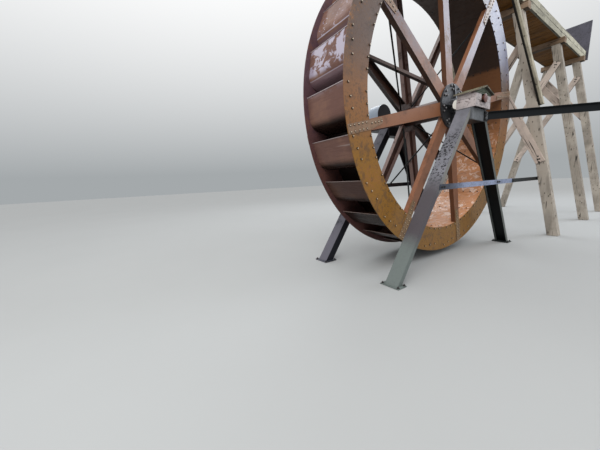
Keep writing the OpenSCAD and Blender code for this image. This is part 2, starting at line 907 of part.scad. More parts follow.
near_rim();
far_rim();
near_gussets();
far_gussets();
sole_plates();
buckets();
near_spokes();
far_spokes();
near_hub();
far_hub();
shaft();
cross_braces();
tie_rods();
near_left_leg();
near_right_leg();
near_head();
near_bearing();
box_boards();
box_roof();
near_tie();
side_tie();
bank_strut();
far_left_leg();
far_right_leg();
far_head();
far_bearing();
far_cover();
far_tie();
launder_floor();
launder_near_side();
launder_far_side();
head_panel();
bent_a_near_post();
bent_a_far_post();
bent_a_cap();
bent_a_braces();
bent_b_near_post();
bent_b_far_post();
bent_b_cap();
bent_b_braces();
bent_c_near_post();
bent_c_far_post();
bent_c_cap();
bent_c_braces();
near_knee();
far_knee();
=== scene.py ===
"""Looks of an overshot steel water wheel, its A-frames, launder and trestle bents."""

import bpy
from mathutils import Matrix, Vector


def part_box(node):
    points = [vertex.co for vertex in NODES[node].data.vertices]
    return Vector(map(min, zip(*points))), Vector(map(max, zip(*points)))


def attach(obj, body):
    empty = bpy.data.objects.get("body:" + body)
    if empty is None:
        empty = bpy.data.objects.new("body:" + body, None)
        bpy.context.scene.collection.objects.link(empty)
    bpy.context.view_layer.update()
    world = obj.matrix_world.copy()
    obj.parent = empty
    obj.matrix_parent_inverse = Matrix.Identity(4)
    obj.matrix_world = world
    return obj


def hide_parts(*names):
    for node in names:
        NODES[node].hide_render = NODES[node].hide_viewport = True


bl_info = {
    "name": "Overshot Water Wheel",
    "version": (1, 0, 0),
    "blender": (4, 5, 0),
    "location": "View3D > Sidebar > Water Wheel",
    "description": "Dresses a water wheel with its frames and launder: bolts, rivets, timbers and finishes",
    "category": "Add Mesh",
}

import math
import random

import bpy
import numpy as np
from mathutils import Matrix, Vector

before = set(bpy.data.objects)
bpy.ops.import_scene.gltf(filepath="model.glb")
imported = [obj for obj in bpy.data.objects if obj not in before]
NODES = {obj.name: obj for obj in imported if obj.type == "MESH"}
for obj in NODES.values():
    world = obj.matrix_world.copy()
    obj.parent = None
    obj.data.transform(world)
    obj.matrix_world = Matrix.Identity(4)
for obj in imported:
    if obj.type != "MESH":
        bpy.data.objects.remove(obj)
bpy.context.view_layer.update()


# Places taken from the frame, in metres

def corners(node):
    """Lowest and highest corner of a node."""
    low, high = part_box(node)
    return Vector(low), Vector(high)


def centre(points):
    """Mean of some points."""
    return sum(points, Vector()) / len(points)


RIM_LOW, RIM_HIGH = corners("near_rim")
SHAFT_Z = centre((RIM_LOW, RIM_HIGH)).z
WHEEL_R = (RIM_HIGH.x - RIM_LOW.x) / 2
NEAR_FACE = RIM_LOW.y
FAR_FACE = corners("far_rim")[1].y
SOLE_INNER = 2.755
SOLE_OUTER = 2.763
SPOKES = 8
BUCKETS = 24

# Angles on the wheel, in degrees up from the launder's side

BAY = 360 / SPOKES
PITCH = 360 / BUCKETS
FIRST_SPOKE = 12.5
LIP_LEAD = 1.4


def wheel_ways(angle):
    """Outward and sideways directions at an angle on the wheel."""
    turn = math.radians(angle)
    return Vector((math.cos(turn), 0, math.sin(turn))), Vector((-math.sin(turn), 0, math.cos(turn)))


def on_wheel(radius, angle, y):
    """Point of the wheel at a radius, an angle and a place along the shaft."""
    return wheel_ways(angle)[0] * radius + Vector((0, y, SHAFT_Z))


def loose_solids(node):
    """The corner points of each separate solid of a node."""
    mesh = NODES[node].data
    spots, index = {}, []
    for vert in mesh.vertices:
        key = tuple(round(c, 4) for c in vert.co)
        index.append(spots.setdefault(key, len(spots)))
    parent = list(range(len(spots)))

    def root(i):
        while parent[i] != i:
            parent[i] = parent[parent[i]]
            i = parent[i]
        return i

    for face in mesh.polygons:
        first = root(index[face.vertices[0]])
        for vert in face.vertices[1:]:
            parent[root(index[vert])] = first
    groups = {}
    for i, key in enumerate(spots):
        groups.setdefault(root(i), []).append(Vector(key))
    return list(groups.values())


# Sizes and colours to set

def width_of(name, description, default, low, high):
    """A length in metres that a user can set."""
    return bpy.props.FloatProperty(
        name=name, description=description, default=default, min=low, max=high,
        subtype="DISTANCE", unit="LENGTH")


def colour_of(name, description, default):
    """A colour that a user can set."""
    return bpy.props.FloatVectorProperty(
        name=name, description=description, default=default, min=0, max=1, subtype="COLOR")


class WheelSettings(bpy.types.PropertyGroup):
    """Sizes and colours of the wheel's finish."""

    bolt_across: width_of("Bolt heads", "Width across a rim bolt's head", 0.030, 0.01, 0.06)
    rivet_across: width_of("Rivet heads", "Width of a gusset rivet's head", 0.026, 0.01, 0.05)
    rim_brown: colour_of("Rim, dry", "The rim plates where they stay dry", (0.118, 0.072, 0.054))
    rim_ochre: colour_of("Rim, wetted", "The rust that water leaves on the plates", (0.272, 0.126, 0.016))
    bucket_brown: colour_of("Buckets", "The bucket sheets", (0.165, 0.088, 0.072))
    spoke_red: colour_of("Spokes", "The spokes' webs", (0.270, 0.112, 0.055))


class SteelSettings(bpy.types.PropertyGroup):
    """Colours of the frames, hubs and bearings."""

    pale_paint: colour_of("Worn paint", "The near frame's weathered paint", (0.165, 0.168, 0.194))
    # Dark paint: on the right leg it stands for the frame's paint in shade; it also colours the ties and the
    # strut.
    dark_paint: colour_of("Dark paint", "The paint that is still dark", (0.009, 0.011, 0.013))
    slate_iron: colour_of("Hub iron", "The hubs' castings", (0.130, 0.134, 0.148))


class TimberSettings(bpy.types.PropertyGroup):
    """Sizes and colours of the weathered timber."""

    wane: width_of("Edge wear", "Deepest wear along a timber's edges", 0.012, 0.002, 0.03)
    post_grey: colour_of("Posts", "The weathered posts", (0.325, 0.285, 0.240))
    brace_pink: colour_of("Braces", "The braces' paler planks", (0.430, 0.355, 0.305))
    floor_ochre: colour_of("Launder floor", "The launder's floor boards", (0.150, 0.066, 0.015))
    moss: colour_of("Moss", "The growth on damp timber", (0.140, 0.150, 0.050))


class StageSettings(bpy.types.PropertyGroup):
    """Light and floor."""

    sky_strength: bpy.props.FloatProperty(
        name="Sky", description="Strength of the even light from all round", default=1.2, min=0, max=3)
    floor_grey: colour_of("Floor", "The floor", (0.42, 0.43, 0.43))


# Shader maths

class Value:
    """A node socket that takes part in arithmetic, each sum being a Math node."""

    def __init__(self, nodes, socket):
        self.nodes = nodes
        self.socket = socket

    def _math(self, operation, *terms):
        return self.nodes.node("ShaderNodeMath", dict(enumerate(terms)), operation=operation)

    def __add__(self, other):
        return self._math("ADD", self, other)

    __radd__ = __add__

    def __sub__(self, other):
        return self._math("SUBTRACT", self, other)

    def __rsub__(self, other):
        return self._math("SUBTRACT", other, self)

    def __mul__(self, other):
        return self._math("MULTIPLY", self, other)

    __rmul__ = __mul__

    def __abs__(self):
        return self._math("ABSOLUTE", self)

    def clamp(self):
        """The value kept between 0 and 1."""
        return self._math("MINIMUM", self._math("MAXIMUM", self, 0.0), 1.0)


class Nodes:
    """A tree of nodes, which all come from one method."""

    def __init__(self, owner):
        owner.use_nodes = True
        self.tree = owner.node_tree
        self.tree.nodes.clear()

    def node(self, kind, inputs=None, output=0, stops=(), **settings):
        """Adds a node: its settings first, then its sockets' values or links."""
        made = self.tree.nodes.new(kind)
        for key, value in settings.items():
            setattr(made, key, value)
        for i, (place, colour) in enumerate(stops):
            made.color_ramp.elements[i].position = place
            made.color_ramp.elements[i].color = (*colour, 1.0)
        for key, value in (inputs or {}).items():
            socket = made.inputs[key]
            if isinstance(value, Value):
                self.tree.links.new(value.socket, socket)
            elif socket.type == "RGBA":
                socket.default_value = (*value[:3], 1.0)
            else:
                socket.default_value = value
        return Value(self, made.outputs[output]) if made.outputs else made

    def axis(self, vector, name):
        """One part of a vector."""
        return self.node("ShaderNodeSeparateXYZ", {0: vector}, output=name)


def tint(colour, factor, lift=0.0):
    """A colour made darker or paler."""
    return tuple(min(1.0, factor * c + lift) for c in colour)


class Finish(Nodes):
    """A material under construction, its colour laid on in coats over a first one."""

    def __init__(self, name, colour, grained=False, **constants):
        self.material = bpy.data.materials.new(name)
        super().__init__(self.material)
        sockets = {key.replace("_", " "): value for key, value in constants.items()}
        surface = self.node("ShaderNodeBsdfPrincipled", sockets)
        self.node("ShaderNodeOutputMaterial", {"Surface": surface})
        self.shader = surface.socket.node
        self.colour = colour
        self.at = self.layer("grain", "Vector") if grained else self.place()

    def place(self):
        """Place on the object, in metres."""
        return self.node("ShaderNodeTexCoord", output="Object")

    def layer(self, name, output):
        """What a mesh holds on its points: a timber's grain or tone, a bucket's run from its fold."""
        return self.node("ShaderNodeAttribute", output=output, attribute_name=name)

    def along(self, name):
        """Place along one axis of the object, in metres."""
        return self.axis(self.at, name)

    def spread(self, stretch, moved=None):
        """The place, stretched or moved."""
        if moved:
            return self.node("ShaderNodeVectorMath", {0: self.at, 1: moved}, operation="ADD")
        if stretch:
            return self.node("ShaderNodeVectorMath", {0: self.at, 1: stretch}, operation="MULTIPLY")
        return self.at

    def noise(self, scale, detail, roughness, distortion=0.0, stretch=None):
        """Cloudy pattern, around 0.5."""
        return self.node("ShaderNodeTexNoise", {
            "Vector": self.spread(stretch), "Scale": scale, "Detail": detail,
            "Roughness": roughness, "Distortion": distortion}, output="Fac")

    def cells(self, scale, randomness=1.0, stretch=None, moved=None):
        """Distance to the nearest of many scattered points."""
        return self.node("ShaderNodeTexVoronoi", {
            "Vector": self.spread(stretch, moved), "Scale": scale, "Randomness": randomness},
            output="Distance")

    def step(self, value, low, high):
        """0 below low and 1 above high, smooth between them."""
        return self.node("ShaderNodeMapRange", {
            "Value": value, "From Min": low, "From Max": high}, interpolation_type="SMOOTHSTEP")

    def below(self, value, low, high):
        """1 below low and 0 above high."""
        return 1.0 - self.step(value, low, high)

    def facing(self, name, sign=1.0):
        """How far the surface faces one way along the part's own axis, from -1 to 1."""
        normal = self.node("ShaderNodeTexCoord", output="Normal")
        return self.axis(normal, name) * sign

    def turned(self, name, low, high):
        """How surely the surface faces against an axis: left, near or down."""
        return self.step(self.facing(name, -1.0), low, high)

    def facing_up(self):
        """How far the surface faces the sky, from 0 to 1."""
        return self.facing("Z").clamp()

    def mix(self, first, second, share):
        """Colour between two colours."""
        return self.node("ShaderNodeMix", {6: first, 7: second, 0: share}, output=2, data_type="RGBA")

    def lay(self, shade, share):
        """Covers a share of the colour so far with a shade."""
        self.colour = self.mix(self.colour, shade, share)

    def stain(self, shade, mask, low, high, share):
        """Lays a shade on where a mask is high."""
        self.lay(shade, self.step(mask, low, high) * share)

    def paint_underside_shade(self, dark=0.30, low=0.12, high=0.65):
        """Painted shade: darkens what faces the ground, standing for the shade under things."""
        down = self.turned("Z", low, high)
        self.lay(self.mix(self.colour, (0.0, 0.0, 0.0), 1.0 - dark), down)

    def done(self, roughness, relief, depth, strength, **links):
        """Sets the colour, the roughness and the relief, and gives the material."""
        normal = self.node("ShaderNodeBump", {
            "Height": relief, "Distance": depth, "Strength": strength}, output="Normal")
        return self.fed(Base_Color=self.colour, Roughness=roughness.clamp(), Normal=normal, **links)

    def fed(self, **links):
        """Links values to the shader's sockets and gives the material."""
        for key, value in links.items():
            self.tree.links.new(value.socket, self.shader.inputs[key.replace("_", " ")])
        return self.material


# Finishes

def rusted_plate(name, dry, wetted, low_from=1.0, low_to=4.0, roughness=0.3, rust_share=0.55,
                 lime_and_sky_reflection=None, amber=None):
    """Plate with brown scale that turns ochre where water has run down; if given, a pale bluish coat high on
    the right, partly limescale and partly painted sky reflection; painted shade on what faces down.
    """
    finish = Finish(name, dry, Specular_IOR_Level=0.35)
    cloud = finish.noise(1.7, 6.0, 0.62)
    fine = finish.noise(22.0, 6.0, 0.7)
    speck = finish.noise(95.0, 4.0, 0.7)
    blotch = finish.noise(8.0, 5.0, 0.65, stretch=(1.0, 1.0, 0.6))
    height = finish.along("Z")
    low = finish.below(height + (cloud - 0.5) * 1.4, low_from, low_to)
    finish.lay(wetted, low)
    if amber:
        finish.lay(amber, low * (1.0 - low) * 2.1)
    finish.stain(tint(dry, 0.45), fine, 0.50, 0.66, 0.7)
    finish.stain(tint(dry, 0.6), blotch, 0.52, 0.66, 0.55)
    rust = tuple(0.5 * (a + b) for a, b in zip(wetted, (0.42, 0.16, 0.05)))
    finish.stain(rust, fine * 0.5 + cloud * 0.5, 0.52, 0.66, rust_share)
    finish.stain(tint(dry, 1.3, 0.05), speck, 0.60, 0.70, 0.6)
    finish.lay(tint(dry, 0.2), finish.below(speck, 0.31, 0.40) * 0.85)
    # Pale bluish coat high on the right: partly limescale, partly painted sky reflection.
    if lime_and_sky_reflection:
        right = finish.step(finish.along("X"), 1.0, 1.9)
        right = right * finish.step(height + (cloud - 0.5) * 0.8, SHAFT_Z + 0.8, SHAFT_Z + 1.6)
        finish.lay(lime_and_sky_reflection, right * finish.step(fine * 0.6 + speck * 0.4, 0.34, 0.48) * 0.75)
    # Painted shade on what faces down.
    finish.paint_underside_shade()
    return finish.done(fine * 0.4 + (roughness - 0.2), fine * 0.6 + speck * 0.4, 0.003, 0.35)


def wet_sheet(name, brown, glow):
    """Bucket sheet under a layer of water: glossy, with faint streaks of silt, pale lines low down that are
    partly scratches and partly painted crease highlights, painted sky reflection and glints above the shaft,
    a painted highlight on the fold, and painted shade on what faces down.
    """
    finish = Finish(name, brown, Specular_IOR_Level=0.10, Coat_Roughness=0.06, Coat_IOR=1.9)
    cloud = finish.noise(1.6, 5.0, 0.6)
    ripple = finish.noise(5.0, 4.0, 0.6, 0.8)
    streak = finish.noise(2.4, 5.0, 0.6, stretch=(9.0, 0.9, 9.0))
    scratch_and_crease_highlight = finish.noise(1.0, 1.0, 0.4, stretch=(16.0, 1.1, 16.0))
    drops = finish.noise(15.0, 4.0, 0.6, 1.2, stretch=(1.0, 0.5, 1.0))
    fine = finish.noise(60.0, 4.0, 0.6)
    height = finish.along("Z")
    high = finish.step(height, SHAFT_Z - 0.2, SHAFT_Z + 1.0)
    down = finish.turned("Z", 0.0, 0.35)
    finish.lay(glow, finish.step(cloud * 0.7 + streak * 0.3, 0.44, 0.66))
    finish.stain(tint(brown, 0.45), streak, 0.60, 0.74, 0.4)
    finish.stain(tint(brown, 0.55), fine, 0.60, 0.72, 0.4)
    # Pale lines low on the wheel: partly scratches, partly painted highlights on creases.
    finish.lay((0.34, 0.26, 0.24), finish.step(scratch_and_crease_highlight, 0.735, 0.765) * (1.0 - high) * 0.7)

    # Painted sky reflection: lilac patches in a band just above the shaft, and painted glints of drops above
    # that; the same mask also sets the coat's real gloss.
    band = finish.step(height, SHAFT_Z - 0.05, SHAFT_Z + 0.25)
    band = band * (1.0 - finish.step(height, SHAFT_Z + 0.90, SHAFT_Z + 1.05) * 0.92)
    nearer = finish.along("Y") * -0.11 + (height - SHAFT_Z - 0.5) * -0.06
    film_and_reflection = finish.step(ripple * 0.6 + cloud * 0.4 + nearer, 0.470, 0.510) * band
    spray_glint_band = finish.step(height, SHAFT_Z + 0.95, SHAFT_Z + 1.10)
    spray_glint_band = spray_glint_band * finish.below(height, SHAFT_Z + 1.35, SHAFT_Z + 1.60)
    wet_and_reflection = (film_and_reflection + finish.step(drops, 0.60, 0.64) * spray_glint_band).clamp()
    # Painted highlight along each bucket's fold near the shaft's height.
    fold = finish.below(abs(finish.layer("along", "Fac")), 0.004, 0.011)
    fold = fold * finish.step(height, SHAFT_Z - 0.1, SHAFT_Z + 0.1)
    finish.lay((0.55, 0.52, 0.62), fold * finish.step(streak, 0.40, 0.52) * 0.8)
    # Lays the painted sky reflection, lilac, where the surface is not turned down.
    finish.lay((0.50, 0.47, 0.62), wet_and_reflection * (1.0 - down) * 0.65)

    # Painted shade on what faces down: near black low on the wheel, a lighter mauve from the shaft up.
    upper = finish.mix(finish.colour, (0.24, 0.15, 0.165), finish.turned("Z", 0.30, 0.60))
    finish.paint_underside_shade(0.12, 0.30, 0.80)
    finish.lay(upper, finish.step(height, SHAFT_Z - 0.4, SHAFT_Z))
    return finish.done(
        finish.step(streak, 0.42, 0.74) * 0.2 + (1.0 - high) * 0.15 + 0.12,
        cloud + ripple * 0.5 + streak * 0.08, 0.016, 0.5,
        Coat_Weight=((wet_and_reflection + 0.03) * (1.0 - down * 0.8)).clamp())


def drum_sheet(name, upper, brown, orange):
    """Inside of the drum: painted shade, nearly black, above a seam; brown below it; orange at the bottom,
    partly wetted rust and partly painted light, with painted glints; painted shade, near black, on the sole's
    outer side.
    """
    finish = Finish(name, brown, Specular_IOR_Level=0.3, Coat_Roughness=0.08, Coat_IOR=1.33)
    cloud = finish.noise(2.0, 6.0, 0.6)
    streak = finish.noise(3.0, 4.0, 0.6, stretch=(6.0, 1.6, 6.0))
    fine = finish.noise(12.0, 4.0, 0.6)
    height = finish.along("Z")
    # Painted shade: the upper drum, whose inside faces down, made nearly black above the seam.
    high = finish.step(height + (cloud - 0.5) * 0.08, SHAFT_Z + 1.22, SHAFT_Z + 1.34)
    # Orange low down: partly wetted rust, partly painted light where the inside faces the sky.
    low = finish.below(height + (streak - 0.5) * 1.2, SHAFT_Z - 1.9, SHAFT_Z + 0.4)
    # Painted glints on the orange.
    glint = finish.step(finish.noise(6.0, 5.0, 0.7, 0.8), 0.545, 0.60) * low
    # Painted shade: faces turned away from the axis made near black.
    outward = finish.along("X") * finish.facing("X") + (height - SHAFT_Z) * finish.facing("Z")
    finish.lay(orange, low)
    finish.lay(upper, high * 0.92)
    finish.stain(tint(brown, 0.5), streak, 0.56, 0.72, 0.35)
    finish.lay(upper, finish.step(fine, 0.58, 0.72) * (1.0 - low) * 0.35)
    finish.lay((0.85, 0.68, 0.58), glint * 0.7)
    finish.lay((0.012, 0.007, 0.006), finish.step(outward, 0.2, 1.2))
    return finish.done(
        finish.step(fine, 0.4, 0.7) * 0.25 + 0.40, streak + fine * 0.2, 0.010, 0.3,
        Coat_Weight=(low * finish.step(streak, 0.42, 0.58)).clamp())


def channel_steel(name, red, bloom_and_sky_light, sky_light_share, lime_and_reflection_from=None, lit_left_share=0.0, sky_from=0.04):
    """Rolled channel: red-brown rust, paler where it faces the sky, partly pale rust and partly painted sky
    light. With a height given, pale limescale on its upper webs that is partly painted sky reflection, and
    painted shade on the faces turned left; with a left share given, painted light on the faces turned left.
    Painted shade on what faces down.
    """
    finish = Finish(name, tint(red, 0.55), Specular_IOR_Level=0.40)
    cloud = finish.noise(2.6, 6.0, 0.62)
    fine = finish.noise(26.0, 6.0, 0.65)
    speck = finish.noise(90.0, 3.0, 0.6)
    finish.lay(red, finish.step(cloud + fine * 0.3, 0.44, 0.68))
    # Painted sky light: faces turned up made paler, partly pale rust.
    sky = finish.step(finish.facing_up(), sky_from, sky_from + 0.26)
    finish.lay(bloom_and_sky_light, sky * finish.step(cloud + fine * 0.35, 0.36, 0.60) * sky_light_share)
    # Upper webs: pale limescale that is partly painted sky reflection, darker towards the left.
    if lime_and_reflection_from:
        lime_and_sky_reflection = finish.step(finish.along("Z") + (cloud - 0.5) * 1.2, lime_and_reflection_from, lime_and_reflection_from + 0.9)
        lime_and_sky_reflection = lime_and_sky_reflection * finish.turned("Y", 0.5, 0.8)
        chalk_and_sky_reflection = finish.mix(tint(bloom_and_sky_light, 0.56), bloom_and_sky_light, finish.step(finish.along("X"), -1.1, -0.2))
        finish.lay(chalk_and_sky_reflection, lime_and_sky_reflection * finish.step(fine * 0.5 + cloud * 0.5, 0.36, 0.50) * 0.85)
        # Painted shade on the faces turned left.
        finish.lay(tint(red, 0.38), finish.turned("X", 0.90, 0.97) * 0.8)
    # Painted light on the faces turned left.
    if lit_left_share:
        left = finish.turned("X", 0.35, 0.7) * finish.step(cloud + fine * 0.3, 0.40, 0.62)
        finish.lay(bloom_and_sky_light, left * lit_left_share)
    finish.stain((0.035, 0.016, 0.010), speck, 0.60, 0.70, 0.6)
    # Painted shade on what faces down.
    finish.paint_underside_shade(0.18)
    return finish.done(fine * 0.4 + 0.20, fine * 0.7 + speck * 0.3, 0.003, 0.45)


def cast_iron(name, slate, lower_dark=0.0):
    """Dark grey casting, lighter on its upper faces as wear and painted light, with rust in its hollows; with
    a share given, painted shade on the faces turned left and a near-black lower half.
    """
    finish = Finish(name, slate, Metallic=0.3, Specular_IOR_Level=0.5)
    cloud = finish.noise(5.0, 6.0, 0.65)
    fine = finish.noise(42.0, 5.0, 0.6)
    # Lighter patches, most on upper faces: partly wear, partly painted light from above.
    finish.lay(tint(slate, 2.6), finish.step(cloud * 0.7 + finish.facing_up() * 0.5, 0.42, 0.78))
    finish.stain(tint(slate, 0.30), fine, 0.50, 0.60, 0.6)
    finish.stain((0.16, 0.075, 0.04), fine * 0.5 + cloud * 0.5, 0.57, 0.68, 0.6)
    if lower_dark:
        # Painted shade on the faces turned left, such as the shaded sides of the hub's ribs.
        finish.lay((0.012, 0.013, 0.016), finish.turned("X", 0.45, 0.75) * lower_dark)
        # The lower half, below the shaft, made near black.
        under = finish.below(finish.along("Z"), SHAFT_Z - 0.06, SHAFT_Z + 0.02)
        finish.lay(tint(slate, 0.22), under * lower_dark)
    return finish.done(fine * 0.4 + 0.32, fine, 0.004, 0.6)


def worn_paint(name, paint, pit_share, pits_from=0.0, pits_to=9.0, lower=None, foot=None, front=None,
               underside=0.35, dull=None):
    """Weathered paint with round dark pits, densest between two heights, and other shades lower down."""
    finish = Finish(name, paint, Specular_IOR_Level=0.5)
    cloud = finish.noise(2.4, 6.0, 0.6)
    fine = finish.noise(60.0, 5.0, 0.65)
    large = finish.cells(15.0, 0.9)
    small = finish.cells(26.0, moved=(3.1, 7.7, 1.3))
    height = finish.along("Z")
    finish.lay(tint(paint, 1.3), finish.step(cloud, 0.42, 0.62))
    if lower:
        above = finish.step(height + (cloud - 0.5) * 0.3, pits_from - 0.3, pits_from + 0.1)
        finish.colour = finish.mix(lower, finish.colour, above)
    if foot:
        above = finish.step(height + (cloud - 0.5) * 0.4, 0.55, 0.95)
        finish.colour = finish.mix(foot, finish.colour, above)
    if dull:
        right = finish.step(finish.along("X"), -1.15, -0.15)
        finish.colour = finish.mix(dull, finish.colour, right)
    band = finish.step(height, pits_from - 0.2, pits_from + 0.2)
    band = band * finish.below(height, pits_to - 0.45, pits_to)
    spread = (cloud - 0.5) * 0.16 + (fine - 0.5) * 0.06
    pits = finish.below(large + spread, 0.35, 0.41) + finish.below(small + spread, 0.24, 0.30)
    pits = pits.clamp() * (band * 0.92 + 0.06) * pit_share
    if front:
        plain = finish.turned("Y", 0.6, 0.8)
        finish.lay(finish.mix(finish.colour, front, finish.step(height, 1.5, 2.0)), plain)
        pits = pits * (1.0 - plain)
    finish.lay((0.010, 0.010, 0.013), pits)
    finish.stain((0.17, 0.095, 0.06), fine * 0.4 + cloud * 0.6, 0.60, 0.70, 0.35)
    # Painted shade on what faces down.
    finish.paint_underside_shade(underside)
    return finish.done(0.36 + fine * 0.25 + pits * 0.2, fine * 0.25 - pits, 0.003, 0.6)


def lit_and_shaded_cover(name, end, side):
    """Cover painted as lit and shaded: painted shade, dark, on its end facing near, and painted sky light,
    pale, on its curved side.
    """
    finish = Finish(name, side, Specular_IOR_Level=0.6)
    cloud = finish.noise(5.0, 6.0, 0.6)
    fine = finish.noise(50.0, 4.0, 0.6)
    # Painted shade on the end facing near.
    finish.lay(end, finish.turned("Y", 0.5, 0.8))
    finish.stain(tint(end, 0.5), cloud * 0.6 + fine * 0.4, 0.52, 0.66, 0.5)
    return finish.done(0.28 + fine * 0.25, fine, 0.002, 0.4)


def black_paint(name, dark, edge=(0.034, 0.040, 0.038), left=None, front=None):
    """Dark paint with some rust: paler where it faces up, partly chalky and partly painted light; painted
    light on the faces turned left, and on those turned near, where a shade is given for them; painted shade
    on what faces down.
    """
    finish = Finish(name, dark, Specular_IOR_Level=0.15)
    cloud = finish.noise(3.0, 6.0, 0.6)
    fine = finish.noise(48.0, 5.0, 0.6)
    # Faces turned up paler: partly chalky paint, partly painted light.
    finish.lay(edge, finish.step(cloud * 0.6 + finish.facing_up() * 0.6, 0.40, 0.85))
    # Painted light on the faces turned left.
    if left:
        finish.lay(left, finish.turned("X", 0.45, 0.75) * finish.step(cloud + fine * 0.3, 0.40, 0.62))
    # Painted light on the faces turned near.
    if front:
        finish.lay(front, finish.turned("Y", 0.70, 0.90))
    finish.stain((0.05, 0.026, 0.017), fine * 0.5 + cloud * 0.5, 0.60, 0.69, 0.12)
    # Painted shade on what faces down.
    finish.paint_underside_shade(0.4)
    return finish.done(fine * 0.35 + 0.26, fine, 0.002, 0.5)


def weathered_timber(name, body, mossy=0.0, blotches=0.0, underside=0.25, lift=0.03, shadow_past_middle=None,
                     specks=0.0, specular=0.3, roughness=0.75):
    """Sawn timber gone grey: grain, checks, knots, nail stains and moss on what faces up; painted shade on
    what faces down, and, with a middle given, a painted shadow on the inner half of a leaning timber's
    underside.
    """
    finish = Finish(name, body, grained=True, Specular_IOR_Level=specular)
    bend = finish.noise(1.0, 3.0, 0.5, stretch=(0.7, 3.0, 3.0))
    lines = finish.noise(1.0, 5.0, 0.62, 0.4, stretch=(1.6, 46.0, 46.0))
    fibre = finish.noise(1.0, 3.0, 0.6, stretch=(7.0, 190.0, 190.0))
    checks = finish.noise(1.0, 2.0, 0.4, stretch=(1.1, 24.0, 24.0))
    knots = finish.cells(1.0, stretch=(2.2, 6.0, 6.0))
    cloud = finish.noise(2.1, 5.0, 0.6)
    crack = finish.step(checks, 0.655, 0.690)
    dark, pale = tint(body, 0.40), tint(body, 1.45, lift)
    finish.stain(dark, lines, 0.50, 0.68, 0.75)
    finish.stain(pale, cloud + finish.layer("tone", "Fac") * 0.30, 0.48, 0.78, 0.8)
    finish.stain(dark, bend, 0.55, 0.72, 0.45)
    finish.lay(tint(body, 0.22), finish.below(knots, 0.06, 0.14) * 0.85)
    finish.lay(tint(body, 0.08), crack * 0.9)
    if mossy:
        patch = cloud * 0.7 + lines * 0.2 + finish.facing_up() * 0.35
        moss = tuple(bpy.context.scene.waterwheel_timber.moss)
        finish.stain(moss, patch, 0.62 - 0.25 * mossy, 0.95 - 0.25 * mossy, 0.85)
    if blotches:
        marks = finish.noise(7.0, 5.0, 0.7, 0.6)
        finish.stain((0.060, 0.034, 0.028), marks, 0.53, 0.62, blotches)
        finish.lay(pale, finish.below(marks, 0.34, 0.44) * 0.6)
    if specks:
        spots = finish.below(finish.cells(1.0, stretch=(7.0, 14.0, 14.0)), 0.16, 0.24)
        finish.lay(tint(body, 0.20), spots * finish.step(cloud, 0.46, 0.54) * specks)
    # Painted shadow: the half of the underside nearer the wheel's middle made near black.
    if shadow_past_middle:
        middle_y, lean, middle_z = shadow_past_middle
        place = finish.place()
        off = abs(finish.axis(place, "Y")) + (finish.axis(place, "Z") - middle_z) * lean
        inner = finish.below(off, -middle_y - 0.012, -middle_y + 0.012)
        finish.lay(tint(body, 0.03), inner * finish.turned("Z", 0.02, 0.20))
    # Painted shade on what faces down.
    finish.paint_underside_shade(underside)
    return finish.done(fibre * 0.2 + roughness, fibre * 0.35 + lines * 0.45 - crack * 1.6, 0.004, 0.75)


def floor_finish(name, grey):
    """Nearly even grey of the studio's floor."""
    finish = Finish(name, grey, Roughness=0.9, Specular_IOR_Level=0.2)
    finish.lay(tint(grey, 0.93), finish.noise(0.35, 4.0, 0.6))
    return finish.fed(Base_Color=finish.colour)


FINISHES = {}


def paint(node, finish):
    """Gives a node a finish."""
    slots = NODES[node].data.materials
    if not slots:
        slots.append(FINISHES[finish])
    for i in range(len(slots)):
        slots[i] = FINISHES[finish]


def soften(node):
    """Small rounded edges on a node, to catch the light."""
    edge = NODES[node].modifiers.new("edge", "BEVEL")
    edge.width = 0.003
    edge.segments = 2
    edge.limit_method = "ANGLE"
    edge.angle_limit = math.radians(35)
    edge.harden_normals = False


# Meshes: a shape is a pair of verts and faces

def new_piece(name, shape, finish, body, smooth=None, layers=None):
    """A mesh that rides on a body and takes its finish from the table of finishes."""
    verts, faces = shape
    mesh = bpy.data.meshes.new(name)
    mesh.from_pydata([tuple(v) for v in verts], [], faces)
    mesh.validate()
    mesh.update()
    for key, (kind, values) in (layers or {}).items():
        layer = mesh.attributes.new(key, kind, "POINT")
        layer.data.foreach_set("vector" if kind == "FLOAT_VECTOR" else "value", np.ravel(values))
    piece = bpy.data.objects.new(name, mesh)
    bpy.context.scene.collection.objects.link(piece)
    mesh.materials.append(FINISHES[finish])
    if smooth is not None:
        mesh.polygons.foreach_set("use_smooth", [True] * len(mesh.polygons))
        mesh.set_sharp_from_angle(angle=math.radians(smooth))
    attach(piece, body)
    return piece


def across(normal):
    """Two directions square to a normal."""
    side = normal.cross(Vector((0, 0, 1)))
    if side.length < 0.1:
        side = normal.cross(Vector((1, 0, 0)))
    side.normalize()
    return side, normal.cross(side).normalized()


def ring_faces(first, rings, sides):
    """Faces of a tube between rings of points that follow one another."""
    return [(low + k, low + (k + 1) % sides, low + sides + (k + 1) % sides, low + sides + k)
            for low in range(first, first + (rings - 1) * sides, sides) for k in range(sides)]


